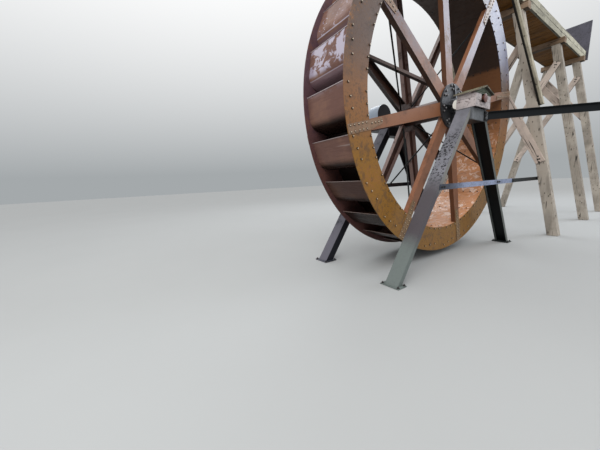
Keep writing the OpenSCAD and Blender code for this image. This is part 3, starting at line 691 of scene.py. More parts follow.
def heads(places, radius, height, sides=6, washer=0.0, dome=False):
    """Bolt or rivet heads standing on (point, normal) places."""
    rng = random.Random(7)
    verts, faces = [], []
    if dome:
        rings = [(0.0, 1.0), (0.45, 0.90), (0.82, 0.60)]
    elif washer:
        rings = [(0.0, washer), (0.18, washer), (0.18, 1.0), (0.82, 1.0), (1.0, 0.86)]
    else:
        rings = [(0.0, 1.0), (0.80, 1.0), (1.0, 0.84)]
    for point, normal in places:
        point, normal = Vector(point), Vector(normal).normalized()
        u, v = across(normal)
        spin = rng.uniform(0, math.tau)
        faces += ring_faces(len(verts), len(rings), sides)
        for lift, share in rings:
            for k in range(sides):
                turn = spin + math.tau * k / sides
                verts.append(point + normal * height * lift
                             + (u * math.cos(turn) + v * math.sin(turn)) * radius * share)
        last = len(verts) - sides
        if dome:
            verts.append(point + normal * height)
            faces += [(last + k, last + (k + 1) % sides, len(verts) - 1) for k in range(sides)]
        else:
            faces.append(tuple(range(last, last + sides)))
    return verts, faces


def lifted(places, height):
    """The same places, moved along their normals."""
    return [(Vector(point) + Vector(normal) * height, normal) for point, normal in places]


def bar(start, end, half_width, half_thick):
    """A straight bar with the half widths of its section given as vectors."""
    verts = []
    for point in (Vector(start), Vector(end)):
        w, t = Vector(half_width), Vector(half_thick)
        verts += [point - w - t, point + w - t, point + w + t, point - w + t]
    return verts, ring_faces(0, 2, 4) + [(3, 2, 1, 0), (4, 5, 6, 7)]


def sheet_faces(first, rows, columns):
    """Faces of a closed plate whose two sides are grids of points, one after the other."""
    def at(side, row, column):
        """Index of a point."""
        return first + (side * rows + row) * columns + column

    faces = []
    for i in range(rows - 1):
        for j in range(columns - 1):
            faces.append((at(0, i, j), at(0, i + 1, j), at(0, i + 1, j + 1), at(0, i, j + 1)))
            faces.append((at(1, i, j + 1), at(1, i + 1, j + 1), at(1, i + 1, j), at(1, i, j)))
    edge = [(i, 0) for i in range(rows - 1)]
    edge += [(rows - 1, j) for j in range(columns - 1)]
    edge += [(i, columns - 1) for i in range(rows - 1, 0, -1)]
    edge += [(0, j) for j in range(columns - 1, 0, -1)]
    for here, after in zip(edge, edge[1:] + edge[:1]):
        faces.append((at(0, *after), at(0, *here), at(1, *here), at(1, *after)))
    return faces


def joined(parts):
    """One shape from several."""
    verts, faces = [], []
    for part_verts, part_faces in parts:
        base = len(verts)
        verts += list(part_verts)
        faces += [tuple(base + i for i in face) for face in part_faces]
    return verts, faces


def ends_of(points):
    """The four corners at each end of a long eight-cornered solid, in matching order."""
    data = np.array([tuple(p) for p in points])
    middle = data.mean(axis=0)
    direction = np.linalg.svd(data - middle)[2][0]
    if direction[np.argmax(np.abs(direction))] < 0:
        direction = -direction
    order = np.argsort((data - middle) @ direction)
    u, v = (np.array(way) for way in across(Vector(direction)))

    def in_turn(quad):
        """Corners in order round the timber's axis."""
        off = quad - quad.mean(axis=0)
        return [Vector(quad[i]) for i in np.argsort(np.arctan2(off @ v, off @ u))]

    low, high = in_turn(data[order[:4]]), in_turn(data[order[4:]])
    run = centre(high) - centre(low)
    shift = min(range(4), key=lambda s: sum((high[(i + s) % 4] - low[i] - run).length for i in range(4)))
    return low, [high[(i + shift) % 4] for i in range(4)]


class Timbers:
    """Collects weathered timbers into one mesh with grain and tone on its points."""

    RING = 12

    def __init__(self, seed, wear=1.0):
        self.rng = random.Random(seed)
        self.wane = bpy.context.scene.waterwheel_timber.wane * wear
        self.verts, self.faces, self.grain, self.tone = [], [], [], []

    def add(self, low, high, step=0.22, wear=1.0, ragged=0.0):
        """A timber between two quads of corners, worn only inwards and ragged at its ends."""
        rng = self.rng
        run = centre(high) - centre(low)
        length = run.length
        count = max(4, int(length / step))
        offset = Vector([rng.uniform(0, 40) for _ in range(3)])
        tone = rng.uniform(0, 1)
        phase = [rng.uniform(0, math.tau) for _ in range(self.RING)]
        pace = [rng.uniform(1.2, 4.0) for _ in range(self.RING)]
        sides = [low[1] - low[0], low[2] - low[1]]
        ways = [side.normalized() for side in sides]
        wane = min(self.wane * wear, min(side.length for side in sides) * 0.16)
        trim = min(0.2, 0.4 * wane / length)
        cuts = [0.0, trim, *(i / count for i in range(1, count)), 1 - trim, 1.0]
        first = len(self.verts)
        for t in cuts:
            quad = [a.lerp(b, t) for a, b in zip(low, high)]
            middle = centre(quad)
            for k in range(self.RING):
                here, after = quad[k // 3], quad[(k // 3 + 1) % 4]
                bite = wane * (0.65 + 0.35 * math.sin(phase[k] + pace[k] * t * length))
                corner = min(0.4, bite / (after - here).length)
                hollow = wane * (0.10 + 0.10 * math.sin(1.7 * phase[k] + 2.3 * t * length))
                point = here.lerp(after, (corner, 0.5, 1 - corner)[k % 3])
                point = point + (middle - (here + after) / 2).normalized() * hollow
                if t in (0, 1):
                    point = point + (middle - point).normalized() * wane * 0.5
                    if ragged:
                        back = run * (-1 if t else 1)
                        point = point + back * rng.uniform(0, ragged) / length
                self.verts.append(point)
                self.grain.append(Vector((t * length, *(point.dot(way) for way in ways))) + offset)
                self.tone.append(tone)
        last = len(self.verts) - self.RING
        self.faces += ring_faces(first, len(cuts), self.RING)
        self.faces.append(tuple(range(first + self.RING - 1, first - 1, -1)))
        self.faces.append(tuple(range(last, last + self.RING)))

    def add_node(self, node, **wear):
        """A timber in the place of each solid of a node."""
        for solid in loose_solids(node):
            self.add(*ends_of(solid), **wear)

    def add_box(self, low, high, along, **wear):
        """A board between two corners of a box, its grain along an axis."""
        a, b = [axis for axis in range(3) if axis != along]
        quads = []
        for end in (low, high):
            quad = []
            for u, v in ((low, low), (high, low), (high, high), (low, high)):
                point = Vector((0, 0, 0))
                point[along], point[a], point[b] = end[along], u[a], v[b]
                quad.append(point)
            quads.append(quad)
        self.add(*quads, **wear)

    def piece(self, name, finish, slot, *nodes):
        """The mesh of all timbers so far, in the place of some nodes."""
        made = new_piece(name, (self.verts, self.faces), finish, "frame", smooth=32, layers={
            "grain": ("FLOAT_VECTOR", [c for g in self.grain for c in g]),
            "tone": ("FLOAT", self.tone)})
        if nodes:
            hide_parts(*nodes)


def timber_piece(name, finish, seed, nodes, wear=1.0, **cut):
    """One mesh of worn timbers in the place of some nodes."""
    timbers = Timbers(seed, wear)
    for node in nodes:
        timbers.add_node(node, **cut)
    timbers.piece(name, finish, "launder_timber", *nodes)


# Stage

PHOTO_WIDTH = 600
FOCAL_PIXELS = 254.15
SENSOR = 36
EYE = (-6.304, -3.717, SHAFT_Z - 1.506)
YAW, TILT, ROLL = 0.5798, -0.1708, -0.0450
SKY_STOPS = ((0.52, (0.31, 0.33, 0.34)), (0.86, (1.0, 1.0, 1.0)))
LAMPS = (
    ("sky_left", (-11, -6, 12), (0, 0, 3.4), 8, 900, (1.0, 0.99, 0.97)),
    ("sky_back", (6, 10, 13), (2, 0, 4), 9, 600, (0.93, 0.97, 1.0)),
    ("sky_right", (18, -7.2, 14.5), (1.5, -0.5, 5.0), 10, 1150, (0.85, 0.91, 1.0)),
)
FLOOR_SIZE = 140
FLOOR_PLACE = (4, 0, -0.0005)


class WATERWHEEL_OT_stage(bpy.types.Operator):
    """Set the camera, the soft light and the pale floor"""
    bl_idname = "waterwheel.stage"
    bl_label = "Stage"

    def execute(self, context):
        settings = context.scene.waterwheel_stage
        ahead = Vector((math.sin(YAW) * math.cos(TILT), math.cos(YAW) * math.cos(TILT), math.sin(TILT)))
        level = Vector((math.cos(YAW), -math.sin(YAW), 0))
        right = math.cos(ROLL) * level + math.sin(ROLL) * level.cross(ahead)
        camera = bpy.data.objects.new("camera", bpy.data.cameras.new("camera"))
        context.scene.collection.objects.link(camera)
        camera.data.sensor_width = SENSOR
        camera.data.lens = SENSOR * FOCAL_PIXELS / PHOTO_WIDTH
        camera.data.clip_end = 200
        turn = Matrix((right, right.cross(ahead), -ahead)).transposed().to_4x4()
        camera.matrix_world = Matrix.Translation(EYE) @ turn
        context.scene.camera = camera

        world = bpy.data.worlds.new("sky")
        sky = Nodes(world)
        up = sky.axis(sky.node("ShaderNodeTexCoord", output="Generated"), "Z")
        half = sky.node("ShaderNodeMapRange", {"Value": up, "From Min": -1.0})
        colour = sky.node("ShaderNodeValToRGB", {0: half}, stops=SKY_STOPS)
        light = sky.node("ShaderNodeBackground", {"Color": colour, "Strength": settings.sky_strength})
        sky.node("ShaderNodeOutputWorld", {"Surface": light})
        context.scene.world = world

        for name, place, aim, size, power, colour in LAMPS:
            lamp = bpy.data.lights.new(name, "AREA")
            lamp.shape = "DISK"
            lamp.size = size
            lamp.energy = power
            lamp.color = colour
            holder = bpy.data.objects.new(name, lamp)
            context.scene.collection.objects.link(holder)
            holder.location = place
            holder.rotation_euler = (Vector(aim) - Vector(place)).to_track_quat("-Z", "Y").to_euler()

        bpy.ops.mesh.primitive_plane_add(size=FLOOR_SIZE, location=FLOOR_PLACE)
        floor = context.object
        floor.name = "floor"
        floor.data.materials.append(floor_finish("floor", settings.floor_grey))
        context.scene.view_settings.view_transform = "Standard"
        return {"FINISHED"}


# Finishes of this wheel

SOFT_EDGED = ("near_spokes far_spokes near_hub far_hub near_left_leg near_right_leg near_head far_head "
              "far_left_leg far_right_leg near_bearing far_bearing bank_strut cross_braces")


def leaning_middle(node):
    """Middle of a leaning timber in y, its lean in y for each metre up, and its middle in z."""
    low, high = (centre(end) for end in ends_of(loose_solids(node)[0]))
    return (low.y + high.y) / 2, (high.y - low.y) / (high.z - low.z), (low.z + high.z) / 2


def steel_finishes(wheel, steel):
    """Finish and nodes of each kind of steel; the ones without nodes are for added pieces."""
    slate, dark = tuple(steel.slate_iron), tuple(steel.dark_paint)
    return {
        "near rim": (rusted_plate(
            "near_rim_rust", tuple(wheel.rim_brown), tuple(wheel.rim_ochre), low_from=2.1, low_to=4.3,
            roughness=0.36, rust_share=0.75, lime_and_sky_reflection=(0.18, 0.20, 0.33), amber=(0.300, 0.118, 0.040)),
            "near_rim"),
        "far rim": (rusted_plate(
            "far_rim_rust", (0.115, 0.062, 0.078), (0.125, 0.055, 0.048), low_from=2.0, low_to=4.2,
            roughness=0.42), "far_rim"),
        "gusset": (rusted_plate(
            "gusset_rust", (0.265, 0.158, 0.095), (0.250, 0.150, 0.070), low_from=1.2, low_to=3.0,
            roughness=0.36, rust_share=0.25),
            "near_gussets far_gussets"),
        "drum": (drum_sheet(
            "drum_wet_rust", (0.019, 0.011, 0.008), (0.150, 0.062, 0.024), (0.56, 0.235, 0.090)), ""),
        "bucket": (wet_sheet("bucket_wet_sheet", tuple(wheel.bucket_brown), (0.235, 0.128, 0.092)), ""),
        # Bucket lips: pale edge metal, partly wear and partly a painted highlight along each lip.
        "worn edge": (rusted_plate("worn_and_highlit_edge_metal", (0.42, 0.36, 0.37), (0.30, 0.22, 0.19)), ""),
        "spoke": (channel_steel(
            "spoke_rust", tuple(wheel.spoke_red), (0.295, 0.275, 0.335), 0.8, SHAFT_Z + 0.5,
            sky_from=0.65), "near_spokes"),
        # Far spokes: a dark copy of the spokes' rust as painted shade, with painted light on the faces turned
        # left.
        "far spoke": (channel_steel(
            "far_spoke_rust", (0.058, 0.024, 0.016), (0.30, 0.21, 0.19), 0.5, lit_left_share=0.75),
            "far_spokes"),
        "brace": (channel_steel(
            "brace_rust", (0.090, 0.042, 0.030), (0.22, 0.17, 0.16), 0.6), "cross_braces"),
        "hub": (cast_iron("hub_iron", slate, 0.85), "near_hub far_hub"),
        "bearing": (cast_iron("bearing_iron", tint(slate, 0.5)), "near_bearing far_bearing"),
        # Pale tips: painted highlights on bolt and rivet heads; the dark rivet finish round them is partly
        # rust and partly painted shadow.
        "bolt": (cast_iron("bolt_iron", (0.022, 0.020, 0.020)), ""),
        "bolt tip": (cast_iron("bolt_tip_highlight_iron", (0.300, 0.290, 0.300)), ""),
        "rivet": (rusted_plate("rivet_rust_and_shadow", (0.045, 0.026, 0.018), (0.070, 0.038, 0.020)), ""),
        "rivet tip": (rusted_plate("rivet_tip_highlight_rust", (0.62, 0.52, 0.40), (0.66, 0.50, 0.32)), ""),
        "shaft": (channel_steel("shaft_rust", (0.110, 0.032, 0.020), (0.20, 0.13, 0.11), 0.4), "shaft"),
        "shaft end": (channel_steel(
            "shaft_end_rust", (0.120, 0.034, 0.022), (0.17, 0.07, 0.05), 0.3), ""),
        "left leg": (worn_paint(
            "left_leg_paint", tuple(steel.pale_paint), 0.90, 1.85, 3.02, lower=(0.072, 0.063, 0.074),
            foot=(0.135, 0.160, 0.152), front=(0.200, 0.195, 0.185)), "near_left_leg"),
        "near head": (worn_paint(
            "near_head_paint", (0.118, 0.125, 0.135), 0.2, underside=0.04), "near_head"),
        "dark paint": (black_paint("frame_dark_paint", dark), "tie_rods bank_strut side_tie"),
        # Right leg and far frame: the frame's paint in shade, painted dark, with painted light on their lit
        # faces.
        "right leg": (black_paint("right_leg_paint", dark, front=(0.115, 0.125, 0.118)), "near_right_leg"),
        "far paint": (black_paint(
            "far_frame_paint", (0.014, 0.015, 0.020), (0.050, 0.055, 0.070), (0.125, 0.120, 0.145)),
            "far_left_leg far_right_leg far_head far_tie"),
        "tie": (worn_paint("tie_paint", (0.215, 0.255, 0.380), 0.3, dull=(0.040, 0.048, 0.075)), "near_tie"),
        "cover": (lit_and_shaded_cover("cover_paint", (0.022, 0.022, 0.034), (0.38, 0.45, 0.55)), "far_cover"),
        "panel": (worn_paint("panel_paint", (0.065, 0.062, 0.085), 0.3), "head_panel"),
        "box end": (worn_paint("box_end_paint", (0.800, 0.780, 0.720), 0.1), ""),
    }


def timber_finishes(timber):
    """Finish of each kind of timber, all for added pieces."""
    return {
        "post": weathered_timber("post_timber", tuple(timber.post_grey), 0.25, specks=0.8),
        "brace plank": weathered_timber("brace_timber", tuple(timber.brace_pink), 0.05),
        "launder side": weathered_timber("launder_side_timber", (0.380, 0.355, 0.270), 0.45),
        # Knee struts: painted shade on what faces down, and a painted shadow on the inner half of the
        # underside.
        "knee": weathered_timber("knee_timber", (0.400, 0.360, 0.270), 0.10, underside=0.80,
                                 shadow_past_middle=leaning_middle("near_knee")),
        "cap": weathered_timber("cap_timber", (0.210, 0.140, 0.090), 0.15),
        # Gable boards: a dark green body, partly moss and partly painted shade under the roof.
        "gable board": weathered_timber("gable_board_timber", (0.130, 0.150, 0.115), 0.5),
        "launder far side": weathered_timber("launder_far_timber", (0.20, 0.14, 0.075), 0.45),
        "launder floor": weathered_timber("launder_floor_timber", tuple(timber.floor_ochre), underside=0.55,
                                          lift=0.0, specular=0.08, roughness=0.525),
        "box board": weathered_timber("box_board_timber", (0.39, 0.350, 0.350), blotches=0.8),
        "roof board": weathered_timber("roof_board_timber", (0.165, 0.145, 0.110), 0.25, blotches=0.6),
    }


class WATERWHEEL_OT_finishes(bpy.types.Operator):
    """Make the finishes and give the steel parts theirs"""
    bl_idname = "waterwheel.finishes"
    bl_label = "Finishes"

    def execute(self, context):
        scene = context.scene
        FINISHES.update(timber_finishes(scene.waterwheel_timber))
        for key, (finish, nodes) in steel_finishes(scene.waterwheel_wheel, scene.waterwheel_steel).items():
            FINISHES[key] = finish
            for node in nodes.split():
                paint(node, key)
        for node in SOFT_EDGED.split():
            soften(node)
        return {"FINISHED"}


# Pieces of the wheel

class WATERWHEEL_OT_rim_bolts(bpy.types.Operator):
    """Bolt the buckets' ends and the sole's edges to both rims"""
    bl_idname = "waterwheel.rim_bolts"
    bl_label = "Rim bolts"

    def execute(self, context):
        radius = context.scene.waterwheel_wheel.bolt_across / 2
        bucket_bolts = [(2.2, WHEEL_R - 0.092), (5.9, WHEEL_R - 0.133), (9.5, WHEEL_R - 0.160)]
        sole_bolts = [(turn, SOLE_INNER + 0.028) for turn in (3.9, 8.0, 11.9)]
        slip = 0.15
        rng = random.Random(3)
        for name, y, out in (("near_rim_bolts", NEAR_FACE, -1), ("far_rim_bolts", FAR_FACE, 1)):
            places = []
            for bucket in range(BUCKETS):
                for turn, reach in bucket_bolts + sole_bolts:
                    angle = FIRST_SPOKE + bucket * PITCH + turn + rng.uniform(-slip, slip)
                    places.append((on_wheel(reach, angle, y), (0, out, 0)))
            # Dark heads, partly rust and partly painted shadow, with pale tips as painted highlights.
            bolts = heads(places, radius=radius, height=0.013, washer=1.6)
            tips = heads(lifted(places, 0.012), radius=radius * 0.72, height=0.010, sides=8)
            new_piece(name, bolts, "rivet", "wheel")
            new_piece(name + "_highlights", tips, "rivet tip", "wheel")
        return {"FINISHED"}


class WATERWHEEL_OT_gusset_rivets(bpy.types.Operator):
    """Rivet the gussets to the rims and the spokes"""
    bl_idname = "waterwheel.gusset_rivets"
    bl_label = "Gusset rivets"

    def execute(self, context):
        radius = context.scene.waterwheel_wheel.rivet_across / 2
        rim_rows, row_half = (3.240, 3.145, 3.040, 2.945, 2.850), 0.051
        spoke_row, row_off = (2.714, 2.625, 2.538, 2.452), -0.020
        spots = [(reach, off) for reach in rim_rows for off in (-row_half, row_half)]
        spots += [(reach, row_off) for reach in spoke_row]
        for side, out in (("near", -1), ("far", 1)):
            low, high = corners(side + "_gussets")
            face = Vector((0, low.y if out < 0 else high.y, SHAFT_Z))
            places = []
            for spoke in range(SPOKES):
                along, aside = wheel_ways(FIRST_SPOKE + spoke * BAY)
                places += [(face + along * reach + aside * off, (0, out, 0)) for reach, off in spots]
            # Dark rings round the rivets are painted shadow; the pale domes on them are painted highlights.
            rings = heads(places, radius=radius * 1.6, height=0.004, sides=12)
            rivets = heads(places, radius=radius, height=0.014, sides=10, dome=True)
            new_piece(side + "_gusset_rivet_shadow_rings", rings, "rivet", "wheel")
            new_piece(side + "_gusset_rivets", rivets, "rivet tip", "wheel", smooth=60)
        return {"FINISHED"}


BUCKET_LIP = WHEEL_R - 0.085
BUCKET_ELBOW, ELBOW_ANGLE = WHEEL_R - 0.110, 10.2
BUCKET_FOOT, FOOT_ANGLE = SOLE_INNER + 0.010, 14.0
BEND_REACH = 0.18
LIP_POINTS, BEND_STEPS, FOOT_POINTS = 8, 10, 4


def bucket_section():
    """Points of a bucket's section with its lip at angle 0, lip first."""
    lip = Vector((BUCKET_LIP, 0))
    elbow = BUCKET_ELBOW * wheel_ways(ELBOW_ANGLE)[0].xz
    foot = BUCKET_FOOT * wheel_ways(FOOT_ANGLE)[0].xz
    before = elbow + (lip - elbow).normalized() * BEND_REACH
    after = elbow + (foot - elbow).normalized() * BEND_REACH
    points = [lip.lerp(before, i / LIP_POINTS) for i in range(LIP_POINTS)]
    for i in range(BEND_STEPS + 1):
        t = i / BEND_STEPS
        points.append((1 - t) ** 2 * before + 2 * t * (1 - t) * elbow + t * t * after)
    points += [after.lerp(foot, (i + 1) / FOOT_POINTS) for i in range(FOOT_POINTS)]
    return points


class WATERWHEEL_OT_buckets(bpy.types.Operator):
    """Form the bucket sheets, with their folded lips and the dents of use"""
    bl_idname = "waterwheel.buckets"
    bl_label = "Buckets"

    def execute(self, context):
        low, high = corners("buckets")
        section = bucket_section()
        count, columns = len(section), 9
        thick, dent_depth, bead = 0.006, 0.004, 0.006
        run = [0.0]
        for here, after in zip(section[:-1], section[1:]):
            run.append(run[-1] + (after - here).length)
        elbow = run[LIP_POINTS + BEND_STEPS // 2]
        inward = []
        for i in range(count):
            ahead = section[min(i + 1, count - 1)] - section[max(i - 1, 0)]
            inward.append(Vector((-ahead.y, ahead.x)).normalized())
        rng = random.Random(11)
        verts, faces, along, beads = [], [], [], []
        for bucket in range(BUCKETS):
            angle = FIRST_SPOKE + LIP_LEAD + bucket * PITCH
            out, aside = wheel_ways(angle)
            swell = [rng.uniform(-1, 1) for _ in range(6)]
            faces += sheet_faces(len(verts), columns, count)
            for face_side in (0, 1):
                for j in range(columns):
                    share = j / (columns - 1)
                    middle = Vector((0, low.y + (high.y - low.y) * share, SHAFT_Z))
                    swollen = 1 + swell[0] * math.sin(6 * share + swell[1] * 3)
                    for i, point in enumerate(section):
                        dent = math.sin(math.pi * share) * math.sin(math.pi * i / (count - 1))
                        spot = point + inward[i] * (dent_depth * dent * swollen + thick * face_side)
                        verts.append(middle + out * spot.x + aside * spot.y)
                        along.append(run[i] - elbow)
            ends = (on_wheel(BUCKET_LIP, angle, y) for y in (low.y, high.y))
            beads.append(bar(*ends, aside * bead, out * bead))
        sheets = new_piece("bucket_sheets", (verts, faces), "bucket", "wheel", smooth=40,
                           layers={"along": ("FLOAT", along)})
        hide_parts("buckets")
        # A pale bead along each lip: partly worn metal, partly a painted highlight.
        new_piece("bucket_lips", joined(beads), "worn edge", "wheel")
        return {"FINISHED"}


class WATERWHEEL_OT_sole(bpy.types.Operator):
    """Lay the drum's sole plates, with seams and their bolts"""
    bl_idname = "waterwheel.sole"
    bl_label = "Sole plates"

    def execute(self, context):
        low, high = corners("sole_plates")
        width = high.y - low.y
        steps, columns, gap, swelling = 16, 7, 0.05, 0.003
        lap_half, lap_thick, lap_in, lap_lead = 0.035, 0.003, 0.01, 0.4
        lap_r, bolt_r, lap_bolts = SOLE_INNER - 0.002, SOLE_INNER - 0.005, 6
        rng = random.Random(5)
        verts, faces, laps, places = [], [], [], []
        for plate in range(SPOKES):
            begin = FIRST_SPOKE + plate * BAY
            swell = rng.uniform(-1, 1)
            faces += sheet_faces(len(verts), steps + 1, columns)
            for radius, bowed in ((SOLE_INNER, 1), (SOLE_OUTER, 0)):
                for i in range(steps + 1):
                    angle = begin + gap + (BAY - 2 * gap) * i / steps
                    for j in range(columns):
                        share = j / (columns - 1)
                        bow = math.sin(math.pi * share) * math.sin(math.pi * i / steps) * (1 + swell)
                        verts.append(on_wheel(radius - swelling * bow * bowed, angle, low.y + width * share))
            for turn in (BAY / 3, 2 * BAY / 3):
                angle = begin + turn + lap_lead
                out, aside = wheel_ways(angle)
                ends = (on_wheel(lap_r, angle, y) for y in (low.y + lap_in, high.y - lap_in))
                laps.append(bar(*ends, aside * lap_half, out * lap_thick))
                for i in range(lap_bolts):
                    y = low.y + width * (i + 0.5) / lap_bolts
                    places.append((on_wheel(bolt_r, angle, y), -out))
        sheets = new_piece("sole_sheets", (verts, faces), "drum", "wheel", smooth=30)
        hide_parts("sole_plates")
        new_piece("sole_laps", joined(laps), "drum", "wheel")
        bolts = heads(places, radius=0.014, height=0.012, washer=1.4)
        new_piece("sole_bolts", bolts, "bolt", "wheel")
        return {"FINISHED"}


class WATERWHEEL_OT_hubs(bpy.types.Operator):
    """Bolt the hubs to the spokes' roots"""
    bl_idname = "waterwheel.hubs"
    bl_label = "Hub bolts"

    def execute(self, context):
        disc, edge, inner, swing = 0.040, 0.045, 0.125, 7
        for node, face, out in (("near_hub", NEAR_FACE, -1), ("far_hub", FAR_FACE, 1)):
            low, high = corners(node)
            reach = (high.x - low.x) / 2
            places = []
            for spoke in range(SPOKES):
                angle = FIRST_SPOKE + spoke * BAY
                for turn, depth in ((-swing, edge), (swing, edge), (0, inner)):
                    places.append((on_wheel(reach - depth, angle + turn, face + out * disc), (0, out, 0)))
            bolts = heads(places, radius=0.022, height=0.022, washer=1.3)
            # Pale tips on the hub bolts: painted highlights.
            tips = heads(lifted(places, 0.021), radius=0.017, height=0.014, sides=10)
            new_piece(node + "_bolts", bolts, "bolt", "wheel")
            new_piece(node + "_bolt_highlights", tips, "bolt tip", "wheel")
        return {"FINISHED"}


# Pieces of the frames

class WATERWHEEL_OT_frame_fittings(bpy.types.Operator):
    """Add the bolts of the frames, ties, strut, feet and bearings"""
    bl_idname = "waterwheel.frame_fittings"
    bl_label = "Frame fittings"

    def head_places(self):
        """Bolts through both heads' plates, in rows down from the top plate."""
        plate, drops = 0.016, (0.045, 0.110, 0.175)
        near_y, far_y = corners("near_head")[0].y, corners("far_tie")[0].y + plate
        top = corners("near_head")[1].z - plate
        for x, y, out in ((0.305, near_y, -1), *((x, far_y, 1) for x in (-0.285, -0.235, 0.235, 0.285))):
            yield from ((Vector((x, y, top - drop)), (0, out, 0)) for drop in drops)

    def strut_places(self, y, z):
        """Bolts through the strut's end plate, the inner column full and the outer one without its middle."""
        inner, outer, row = 0.265, 0.40, 0.065
        for x, rows in ((inner, (-row, 0, row)), (outer, (-row, row))):
            yield from ((Vector((x, y, z + off)), (0, -1, 0)) for off in rows)

    def tie_places(self):
        """Bolts of both ties at the legs, and of the near one at its free end."""
        right_leg = 1.36
        for node, out in (("near_tie", -1), ("far_tie", 1)):
            low, high = corners(node)
            y = low.y if out < 0 else high.y
            for x in (low.x + 0.06, low.x + 0.15, right_leg - 0.10, right_leg):
                yield Vector((x, y, (low.z + high.z) / 2)), (0, out, 0)
        low, high = corners("near_tie")
        for x in (high.x - 0.115, high.x - 0.045):
            yield Vector((x, low.y, low.z + 0.055)), (0, -1, 0)

    def foot_places(self):
        """Bolts beside and in front of each leg on its foot plate."""
        plate, margin, hole_in, half_y = 0.020, 0.060, 0.030, 0.165
        head_low, head_high = corners("near_head")
        leg_top = head_high.z - 0.016
        for side, flange in (("near", 0.095), ("far", 0.180)):
            for hand, way in (("left", -1), ("right", 1)):
                low, high = corners(f"{side}_{hand}_leg")
                foot = max(-low.x, high.x) - margin
                slant = math.hypot(1, (foot + head_low.x) / (leg_top - plate))
                for x in (foot + hole_in, foot - flange * slant - hole_in):
                    for y in (-half_y, half_y):
                        yield Vector((way * x, (low.y + high.y) / 2 + y, plate)), (0, 0, 1)

    def execute(self, context):
        head_low, head_high = corners("near_head")
        cleat_x, cleat_y, cleat_gap = head_low.x + 0.045, head_low.y - 0.007, 0.004
        ends = ((cleat_x, cleat_y, z) for z in (head_low.z + cleat_gap, head_high.z - cleat_gap))
        cleat = bar(*ends, half_width=(0.026, 0, 0), half_thick=(0, 0.008, 0))
        new_piece("head_cleat", cleat, "near head", "frame")

        low, high = corners("bank_strut")
        strut_z = (low.z + high.z) / 2
        plate_y = head_low.y - 0.014
        lug_x, lug_half, lug_thick = 0.345, 0.080, 0.003
        ends = ((lug_x, plate_y - lug_thick, strut_z + off) for off in (-lug_half, lug_half))
        lug = bar(*ends, half_width=(0.048, 0, 0), half_thick=(0, lug_thick, 0))
        new_piece("strut_lug", lug, "near head", "frame")
        pin_spot = Vector((lug_x + 0.020, plate_y - 2 * lug_thick, strut_z + 0.052))
        pin = heads([(pin_spot, (0, -1, 0))], radius=0.024, height=0.020)
        # The pin takes the pale tip finish: a painted highlight.
        new_piece("strut_pin", pin, "bolt tip", "frame")

        places = [*self.head_places(), *self.strut_places(plate_y, strut_z), *self.tie_places(),
                  *self.foot_places()]
        bolts = heads(places, radius=0.021, height=0.018, washer=1.35)
        tips = heads(lifted(places, 0.017), radius=0.011, height=0.016, sides=10)
        new_piece("frame_bolts", joined([bolts, tips]), "bolt", "frame")

        caps, places = [], []
        cap_low, cap_half, cap_in, cap_out = SHAFT_Z - 0.030, 0.013, 0.100, 0.172
        bolt_x, bolt_y = 0.138, 0.045
        for node in ("near_bearing", "far_bearing"):
            low, high = corners(node)
            y = (low.y + high.y) / 2
            for side in (-1, 1):
                ends = ((side * x, y, cap_low + cap_half) for x in (cap_in, cap_out))
                caps.append(bar(*ends, half_width=(0, 0.080, 0), half_thick=(0, 0, cap_half)))
                for off in (-bolt_y, bolt_y):
                    places.append((Vector((side * bolt_x, y + off, cap_low + 2 * cap_half)), (0, 0, 1)))
        new_piece("bearing_caps", joined(caps), "bearing", "frame")
        nuts = heads(places, radius=0.020, height=0.026, washer=1.3)
        new_piece("bearing_bolts", nuts, "bolt", "frame")
        return {"FINISHED"}


BOX_BOARD = 0.028
BOX_SEAM = 0.002


